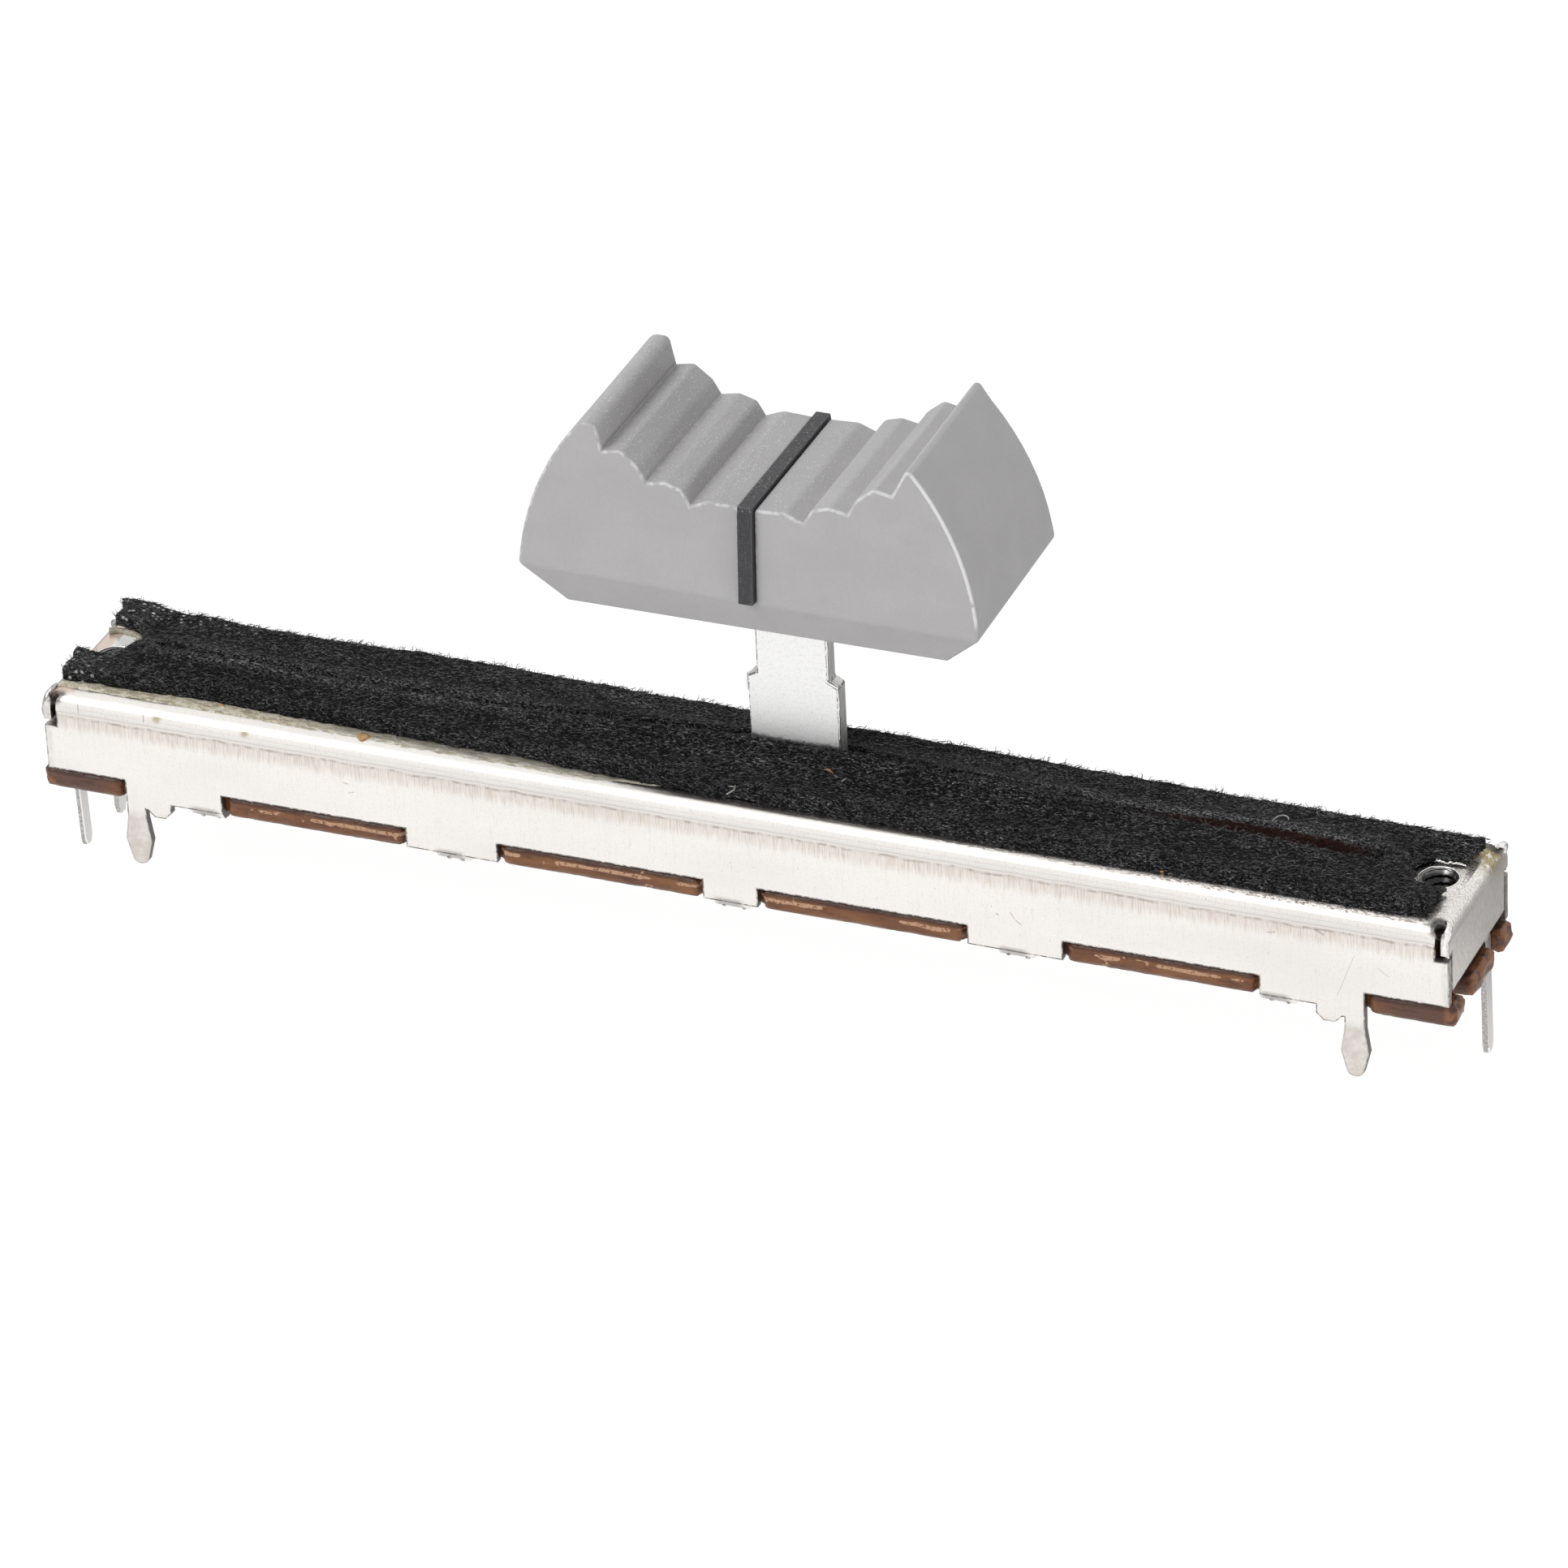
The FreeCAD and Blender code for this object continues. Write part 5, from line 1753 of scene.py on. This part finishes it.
@dataclass
class Strewn:
    """Strands strewn over a surface by Geometry Nodes."""

    seed: int
    density: float
    tilt: Pair
    turn: float
    scale: Pair
    mark: str = ""

    def spread(
        self, surface: Piece, strand: Piece, finish: Material, name: str
    ) -> Piece:
        """Strews the strands.

        Args:
            surface: the piece that carries them.
            strand: one strand.
            finish: the strands' material.
            name: the new piece's name.

        Returns:
            One plain mesh of all the strands.
        """
        tree = bpy.data.node_groups.new(name + "_tree", "GeometryNodeTree")
        face = tree.interface
        face.new_socket(name="Geometry", in_out="INPUT", socket_type="NodeSocketGeometry")
        face.new_socket(name="Geometry", in_out="OUTPUT", socket_type="NodeSocketGeometry")
        kinds = {
            "Density": ("NodeSocketFloat", self.density / MM**2),
            "Seed": ("NodeSocketInt", self.seed),
            "Lowest Scale": ("NodeSocketFloat", self.scale[0]),
            "Highest Scale": ("NodeSocketFloat", self.scale[1]),
            "Lowest Turn": ("NodeSocketVector", (-math.pi, -self.tilt[1], -self.turn)),
            "Highest Turn": ("NodeSocketVector", (math.pi, -self.tilt[0], self.turn)),
            "Strand": ("NodeSocketObject", strand),
            "Finish": ("NodeSocketMaterial", finish),
        }
        names = {
            k: face.new_socket(name=k, in_out="INPUT", socket_type=kind).identifier
            for k, (kind, _) in kinds.items()
        }
        w = Wiring(tree)
        given = w.add("NodeGroupInput").outputs
        density, seed = given["Density"], given["Seed"]
        if self.mark:
            share = w.add("GeometryNodeInputNamedAttribute", {"Name": self.mark}).outputs["Attribute"]
            density = w.maths("MULTIPLY", density, share)
        cover = {"Mesh": given["Geometry"], "Density": density, "Seed": seed}
        points = w.add("GeometryNodeDistributePointsOnFaces", cover).outputs["Points"]
        turns = {0: given["Lowest Turn"], 1: given["Highest Turn"], "Seed": seed}
        turn = w.add("FunctionNodeRandomValue", turns, data_type="FLOAT_VECTOR").outputs[0]
        angles = w.add("FunctionNodeEulerToRotation", {0: turn}).outputs[0]
        scales = {2: given["Lowest Scale"], 3: given["Highest Scale"], "Seed": seed}
        size = w.add("FunctionNodeRandomValue", scales).outputs[1]
        source = w.add("GeometryNodeObjectInfo", {"Object": given["Strand"]}).outputs["Geometry"]
        each = {"Points": points, "Instance": source, "Rotation": angles, "Scale": size}
        strands = w.add("GeometryNodeInstanceOnPoints", each).outputs[0]
        real = w.add("GeometryNodeRealizeInstances", {0: strands}).outputs[0]
        finished = w.add("GeometryNodeSetMaterial", {"Geometry": real, "Material": given["Finish"]})
        w.add("NodeGroupOutput", {0: finished.outputs[0]})
        carrier = linked(name, surface.data.copy())
        work = carrier.modifiers.new("strewn", "NODES")
        work.node_group = tree
        for key, (_, value) in kinds.items():
            work[names[key]] = value
        settled(carrier)
        bpy.data.objects.remove(strand)
        return carrier


@dataclass
class GlueTrace:
    """The contact glue that shows along the felt's front edge, with its amber beads."""

    step: float = 0.09
    rows: int = 11
    inner: float = -2.55
    flat_half: float = 3.55
    bend_radius: float = 0.95
    outer: Pairs = (
        (-37.05, -3.60), (-30.0, -3.64), (-22.0, -3.70), (-14.0, -3.86), (-7.0, -3.88), (-2.5, -3.35),
    )
    height: Pairs = ((-37.05, 0.075), (-24.0, 0.07), (-16.0, 0.035), (-2.5, 0.012))
    notch_line: tuple[Place, ...] = (
        (-36.85, 2.10, 0.13), (-36.4, 2.28, 0.14), (-35.8, 2.24, 0.14), (-35.3, 2.12, 0.14),
        (-34.95, 1.85, 0.13), (-34.6, 1.35, 0.12),
    )
    beads: tuple[tuple[float, float, float, float], ...] = (
        (-20.0, -3.62, 0.02, 0.26), (-28.1, -3.05, 0.10, 0.10), (22.6, -3.72, 0.10, 0.08),
    )
    flatness: Place = (1.25, 1.0, 0.55)

    def build(self) -> None:
        """Makes the strip and the beads."""
        strip = self.strip()
        placed(dressed(strip, GlueFilm().make()), Body.HOUSING, "adhesive", "adhesive_front")
        wobble = Ripple(66, 0.12, 2).at(np.linspace(0.0, 1.0, 40))
        edge = tubes("notch_glue", [(curved(self.notch_line, 40), 0.16 + 0.03 * wobble, False)], 10)
        dressed(edge, PlainCoat("notch_glue_finish", (0.30, 0.27, 0.20), (0.46, 0.44, 0.36), 0.5, 0.2).make())
        placed(edge, Body.HOUSING, "adhesive")
        beads = self.amber_beads()
        dressed(beads, PlainCoat("amber_finish", (0.42, 0.22, 0.08), (0.55, 0.36, 0.18), 0.35, 0.12).make())
        placed(beads, Body.HOUSING, "adhesive")

    def ground(self, y: Array) -> Array:
        """Returns the case's height across its top and bend."""
        past = np.clip(np.abs(y) - self.flat_half, 0.0, self.bend_radius)
        return np.sqrt(self.bend_radius**2 - past**2) - self.bend_radius

    def strip(self) -> Piece:
        """Makes the wrinkled strip of glue.

        Returns:
            The piece.
        """
        x = np.arange(self.outer[0][0], self.outer[-1][0], self.step)
        ragged = Ripple(61, 0.35, 3).at(x) * 0.07 + Ripple(62, 2.0).at(x) * 0.05
        edge = along(self.outer, x) + ragged
        shares = np.linspace(0.0, 1.0, self.rows)
        y = self.inner + (edge[:, None] - self.inner) * shares[None, :]
        xx = np.broadcast_to(x[:, None], y.shape)
        folds = Ripple(63, 0.22, 3).at(xx / 3.0, y) * (0.02 + 0.035 * eased(xx, -24.0, -16.0))
        rim = np.sqrt(np.clip(1.0 - shares[None, :] ** 6, 0.0, 1.0))
        upper = self.ground(y) + (along(self.height, x)[:, None] + np.clip(folds, -0.01, 1.0)) * rim + 0.006
        lower = self.ground(y) + 0.001
        top = np.stack((xx, y, upper), -1).reshape(-1, 3)
        bottom = np.stack((xx, y, np.minimum(lower, upper - 0.003)), -1).reshape(-1, 3)
        count, rows, under = len(x), self.rows, len(top)
        faces: Faces = []
        for i in range(count - 1):
            for j in range(rows - 1):
                a, b = i * rows + j, (i + 1) * rows + j
                faces += [(a, a + 1, b + 1, b), (under + a, under + b, under + b + 1, under + a + 1)]
            a, b, e = i * rows, (i + 1) * rows, rows - 1
            faces += [(a, b, under + b, under + a), (a + e, under + a + e, under + b + e, b + e)]
        for first in (0, (count - 1) * rows):
            for a in range(first, first + rows - 1):
                faces.append((a, a + 1, under + a + 1, under + a))
        return smooth(outward(made("glue_strip", np.vstack((top, bottom)), faces)), 60.0)

    def amber_beads(self) -> Piece:
        """Makes the dried beads of glue, each its own lump.

        Returns:
            The piece.
        """
        bm = bmesh.new()
        for index, (x, y, z, size) in enumerate(self.beads):
            lump = bmesh.ops.create_icosphere(bm, subdivisions=3, radius=1.0)["verts"]
            ripple = Ripple(70 + index, 0.7, 2)
            for vert in lump:
                c = vert.co.copy()
                swell = 1.0 + 0.30 * float(ripple.at(c.x * 1.3 + c.z, c.y * 1.3))
                sides = zip((x, y, z), c, self.flatness)
                grown = [at + side * size * share * swell for at, side, share in sides]
                vert.co = Vector(grown) * MM
        mesh = bpy.data.meshes.new("amber_beads")
        bm.to_mesh(mesh)
        bm.free()
        return smooth(linked("amber_beads", mesh), 60.0)


@dataclass
class Litter:
    """The splinter and the curls of lint that lie on the felt."""

    splinter: tuple[Place, ...] = ((4.12, -1.52, 1.30), (4.40, -1.60, 1.34), (4.66, -1.70, 1.26))
    ring_place: Place = (27.0, 1.15, 0.92)
    ring_reach: float = 0.36
    curls: tuple[tuple[Place, ...], ...] = (
        ((-0.10, -3.30, 0.66), (0.10, -3.42, 0.72), (0.14, -3.66, 0.62), (-0.02, -3.80, 0.52),
         (-0.20, -3.86, 0.40)),
        ((-0.42, -3.52, 0.55), (-0.20, -3.50, 0.66), (0.08, -3.56, 0.70)),
        ((5.20, -1.98, 1.05), (5.32, -1.82, 1.12), (5.36, -1.66, 1.14)),
    )

    def build(self) -> None:
        """Makes the splinter and the curls."""
        sliver = curved(self.splinter, 9)
        widths = along(((0.0, 0.03), (0.4, 0.085), (1.0, 0.02)), np.linspace(0.0, 1.0, 9))
        wood = tubes("splinter", [(sliver, widths, False)], 6)
        dressed(wood, PlainCoat("splinter_finish", (0.36, 0.20, 0.11), (0.20, 0.10, 0.05), 0.7, 0.15).make())
        placed(wood, Body.HOUSING, "felt")
        turn = np.linspace(0.4, 6.1, 40)
        x, y, z = self.ring_place
        reach = self.ring_reach + 0.05 * np.sin(turn * 2.0)
        rise = z + 0.10 + 0.10 * np.sin(turn)
        loop = np.stack((x + reach * np.cos(turn), y + reach * np.sin(turn), rise), -1)
        runs = [(loop, np.full(40, 0.030), False)]
        runs += [(curved(curl, 18), np.full(18, 0.026), False) for curl in self.curls]
        lint = tubes("lint_curls", runs, 6)
        dressed(lint, PlainCoat("curl_finish", (0.52, 0.50, 0.48), (0.34, 0.33, 0.31), 0.7).make())
        placed(lint, Body.HOUSING, "felt")


@dataclass
class Cap:
    """The grey fader cap with its index line."""

    widest_round: float = 0.62
    crown_share: float = 0.27
    riser_share: float = 0.32
    valley_share: float = 0.08
    outline_share: float = 0.23
    riser_turn: float = 0.62
    ridge_shares: Pair = (0.60, 0.22)
    ridge_inner: float = 8.25
    ridge_gain: float = 0.60
    flank_gain: float = 0.18
    ridge_rise: float = 0.20
    waist_lean: float = 0.013
    valleys: tuple[float, ...] = (2.95, 5.25, 7.55)
    foot_share: float = 0.16
    line_round: float = 0.05

    def build(self) -> None:
        """Makes the cap and its line from their packed forms."""
        cap = traced("knob", "fader_cap")
        for vert in cap.data.vertices:
            vert.co += self.settling(vert.co / MM) * MM
        softened(cap, self.widest_round, 5, 22.0, self.share)
        # The rim mark carries the cap's painted edge highlight: weakened on the top's crowns, less in its
        # valleys.
        rim = cap.data.attributes["rim"].data
        for face in cap.data.polygons:
            if abs(face.normal.y) < 0.2 and face.center.z > 12.6 * MM:
                across = abs(face.center.x / MM - LEVER_PLACE)
                valley = min(abs(across - place) for place in self.valleys) < 0.12
                rim[face.index].value *= 0.55 if valley else 0.12
        placed(dressed(smooth(cap, 40.0), CapPlastic().make()), Body.SLIDER, "cap_grey", "knob")
        line = traced("indicator_insert", "index_line")
        softened(line, self.line_round, 2, 25.0)
        dressed(smooth(line, 40.0), LinePlastic().make())
        placed(line, Body.SLIDER, "line_black", "indicator_insert")

    def settling(self, place: Vector) -> Vector:
        """Works out how far the moulding's shrinkage took a corner.

        Args:
            place: the corner's drawn place, in mm.

        Returns:
            The way that it moved, in mm.
        """
        across = place.x - LEVER_PLACE
        moved = Vector((0.0, 0.0, 0.0))
        if place.z > 20.5 and abs(across + self.ridge_inner) < 0.05:
            moved.x += self.ridge_gain
        if across < -8.0 and place.z > 12.2:
            moved.x -= self.flank_gain
        if place.z > 20.4 and place.y > 0.0:
            moved.z += self.ridge_rise
        if 12.2 < place.z < 12.6:
            moved.z += math.copysign(self.waist_lean, place.y) * across
        return moved

    def share(self, middle: Vector, run: Vector, turn: float) -> float:
        """Returns how round one of the cap's edges is.

        Args:
            middle: the edge's middle, in mm.
            run: its direction.
            turn: its turn, negative in a hollow.

        Returns:
            The share of the widest rounding.
        """
        across_top = abs(run.y) > 0.9 and middle.z > 12.6
        if across_top and middle.z > 20.4:
            return self.ridge_shares[0] if middle.x < 0.0 else self.ridge_shares[1]
        if across_top and turn < 0.0:
            return self.valley_share
        if across_top:
            return self.riser_share if turn > self.riser_turn else self.crown_share
        return self.outline_share if middle.z > 12.0 else self.foot_share


@dataclass
class Lever:
    """The blanked steel lever, with the burr that its shearing left."""

    edge_round: float = 0.09
    half_lower: float = 2.5
    half_upper: float = 2.0
    left_inset: float = 0.18
    face: float = -0.5

    def build(self) -> None:
        """Makes the lever from its packed form, and its burr."""
        blade = traced("lever", "lever_blade")
        for vert in blade.data.vertices:
            if vert.co.x < LEVER_PLACE * MM:
                vert.co.x += self.left_inset * MM
        softened(blade, self.edge_round, 2, 30.0)
        marked(blade, "cut", "FACE", [1.0 if abs(f.normal.y) < 0.5 else 0.0 for f in blade.data.polygons])
        placed(dressed(smooth(blade, 40.0), LeverSteel().make()), Body.SLIDER, "lever_steel", "lever")
        burr = self.burr()
        dressed(burr, PlainMetal("burr_finish", (0.95, 0.945, 0.94), (0.80, 0.79, 0.78), 0.2).make())
        placed(burr, Body.SLIDER, "lever_steel")

    def burr(self) -> Piece:
        """Makes the bright burr down the blade's right edge and over its shoulders.

        Returns:
            The piece.
        """
        low, high = LEVER_PLACE + self.half_lower, LEVER_PLACE + self.half_upper
        front = self.face - 0.02
        edge = curved(
            ((high, front, 11.6), (high + 0.02, front, 8.5), (high, front, 6.1),
             (high - 0.05, front - 0.04, 5.75),
             (low - 0.16, front - 0.05, 5.55), (low + 0.01, front, 5.2), (low, front, 3.4),
             (low, front, 1.9)), 90
        )
        wobble = Ripple(81, 0.5, 3).at(edge[:, 2] * 2.0)
        edge[:, 0] += 0.03 * wobble
        widths = 0.045 + 0.03 * np.abs(wobble) + 0.05 * np.exp(-(((edge[:, 2] - 5.6) / 0.25) ** 2))
        upper, lower = LEVER_PLACE - self.half_upper, LEVER_PLACE - self.half_lower
        left = curved(
            ((upper + 0.15, front + 0.02, 5.75), (lower + 0.28, front, 5.55),
             (lower + 0.17, front + 0.03, 5.25),
             (lower + 0.18, front + 0.04, 4.5)), 16
        )
        return tubes("lever_burr", [(edge, widths, False), (left, np.full(16, 0.04), False)], 8)


@dataclass
class Board:
    """The phenolic board with its three terminals."""

    voxel: float = 0.15
    end: float = 37.85
    end_gain: float = 0.24
    middle: float = -4.94
    passes: int = 7

    def build(self) -> None:
        """Makes the board's chipped edges and dresses what it carries."""
        board = self.chipped()
        placed(dressed(board, Phenolic().make()), Body.HOUSING, "phenolic", "circuit_board")
        pin = PinMetal().make()
        corners = []
        for node in ("terminal_left_front", "terminal_left_back", "terminal_right_back"):
            terminal = traced(node, node.replace("terminal", "pin"))
            corners.append((self.corner_line(terminal), np.full(16, 0.065), False))
            softened(terminal, 0.085, 2, 30.0)
            sides = [1.0 if abs(face.normal.y) > 0.5 else 0.0 for face in terminal.data.polygons]
            marked(terminal, "cut", "FACE", sides)
            placed(dressed(smooth(terminal, 40.0), pin), Body.HOUSING, "pin_metal", node)
        # Near-white tubes along the pins' front corners: a painted highlight.
        edges = tubes("pin_corners", corners, 6)
        dressed(edges, PlainMetal("pin_corner_highlight_finish", (0.98, 0.975, 0.97), (0.88, 0.87, 0.86), 0.3).make())
        placed(edges, Body.HOUSING, "pin_metal")

    def corner_line(self, terminal: Piece) -> Array:
        """Finds a pin's front outer corner, from under the board to its point.

        Args:
            terminal: the pin.

        Returns:
            The corner's points, in mm.
        """
        points = np.array([v.co for v in terminal.data.vertices]) / MM
        upright = points[points[:, 2] < self.middle]
        front = upright[upright[:, 1] < upright[:, 1].mean()]
        levels: dict[float, Array] = {}
        for point in front:
            key = round(float(point[2]), 1)
            if key not in levels or abs(point[0]) > abs(levels[key][0]):
                levels[key] = point
        line = np.array([levels[key] for key in sorted(levels, reverse=True)])
        spread = np.linspace(line[0, 2], line[-1, 2] + 0.04, 16)
        falling = line[::-1]
        return np.stack([np.interp(spread, falling[:, 2], falling[:, k]) for k in range(3)], -1)

    def chipped(self) -> Piece:
        """Makes the board with eroded tabs and fingers, and its chips stored on it.

        Returns:
            The piece.
        """
        board = traced("circuit_board", "phenolic_board")
        remesh = board.modifiers.new("evened", "REMESH")
        remesh.mode = "VOXEL"
        remesh.voxel_size = self.voxel * MM
        remesh.adaptivity = 0.0
        settled(board)
        eased_edges = board.modifiers.new("eased", "SMOOTH")
        eased_edges.factor = 0.5
        eased_edges.iterations = self.passes
        settled(board)
        mesh = board.data
        c = np.array([vert.co for vert in mesh.vertices]) / MM
        n = np.array([vert.normal for vert in mesh.vertices])
        past_side = eased(np.abs(c[:, 1]), 4.0, 4.2)
        past_end = eased(np.abs(c[:, 0]), 36.9, 37.2)
        shown = np.maximum(past_side, past_end)
        coarse = Ripple(91, 0.9, 3).at(c[:, 0] + c[:, 1], c[:, 2] * 2.0)
        fine = Ripple(92, 0.30, 2).at(c[:, 0] + c[:, 1] * 0.9, c[:, 2] * 1.5 + c[:, 1])
        corner = np.abs(n).max(1) < 0.93
        bitten = np.where(corner, 0.05 + 0.07 * np.clip(coarse, 0, 1), 0.0)
        depth = shown * (-0.02 + 0.035 * coarse + 0.020 * fine + bitten)
        depth = depth + past_end * (0.02 + 0.10 * np.clip(coarse + 0.1, 0.0, 1.0))
        depth = np.where(n[:, 2] < -0.6, depth - 0.06 * shown, depth)
        moved = c - n * np.clip(depth, -0.08, 0.3)[:, None]
        moved[:, 0] += np.sign(c[:, 0]) * self.end_gain * past_end
        moved[:, 0] = np.clip(moved[:, 0], -self.end, self.end)
        mesh.vertices.foreach_set("co", (moved * MM).ravel())
        row = np.exp(-(((c[:, 2] - self.middle - 0.05 + 0.12 * coarse) / 0.13) ** 2))
        strips = Ripple(93, 1.1, 3).at(c[:, 0], c[:, 2] * 4.0)
        chips = shown * (row * eased(strips, -0.15, 0.10) + 0.8 * eased(fine + 0.5 * coarse, 0.65, 0.85))
        chips = chips * (1.0 - 0.65 * eased(np.abs(c[:, 0]), 32.5, 33.5))
        marked(board, "chip", "POINT", np.clip(chips, 0.0, 1.0))
        mesh.update()
        smooth(board, 180.0)
        thinned = board.modifiers.new("thinned", "DECIMATE")
        thinned.decimate_type = "COLLAPSE"
        thinned.ratio = 0.6
        settled(board)
        return board


@dataclass
class HiddenParts:
    """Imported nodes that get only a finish, and the glue under the felt's back half."""

    pad_left: float = -33.9
    pad_right: float = 34.2
    pad_back: float = 2.6

    def build(self) -> None:
        """Dresses each node."""
        carbon = PlainCoat("carbon_finish", (0.015, 0.015, 0.016), (0.03, 0.03, 0.03), 0.5).make()
        silver = PlainCoat("silver_ink_finish", (0.45, 0.45, 0.44), (0.32, 0.32, 0.31), 0.45).make()
        black = PlainCoat("carriage_finish", (0.012, 0.012, 0.013), (0.024, 0.024, 0.026), 0.5).make()
        rivet = PlainMetal("rivet_finish", (0.70, 0.66, 0.60), (0.55, 0.52, 0.48), 0.35).make()
        bronze = PlainMetal("bronze_finish", (0.72, 0.50, 0.30), (0.58, 0.38, 0.22), 0.3).make()
        glue = PlainCoat("adhesive_finish", (0.24, 0.215, 0.17), (0.16, 0.14, 0.11), 0.6).make()
        finishes = {
            "resistive_track": carbon,
            "collector_track": silver,
            "track_pad_left": silver,
            "track_pad_right": silver,
            "rivet_left_front": rivet,
            "rivet_left_back": rivet,
            "rivet_right_back": rivet,
            "slider_carriage": black,
            "wiper_contact": bronze,
        }
        pad = traced("adhesive_back", "adhesive_pad")
        for vert in pad.data.vertices:
            vert.co.x = min(max(vert.co.x, self.pad_left * MM), self.pad_right * MM)
            vert.co.y = min(vert.co.y, self.pad_back * MM)
        placed(dressed(pad, glue), Body.HOUSING, "adhesive", "adhesive_back")
        for node, finish in finishes.items():
            dressed(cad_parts[node], finish)
            LOG.info("%s keeps its packed form", node)


def main() -> None:
    """Builds the studio and the part's pieces in order."""
    logging.basicConfig(level=logging.INFO)
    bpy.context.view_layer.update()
    Studio().build()
    for piece in (Case(), FeltCover(), GlueTrace(), Litter(), Cap(), Lever(), Board(), HiddenParts()):
        piece.build()


if __name__ == "__main__":
    main()
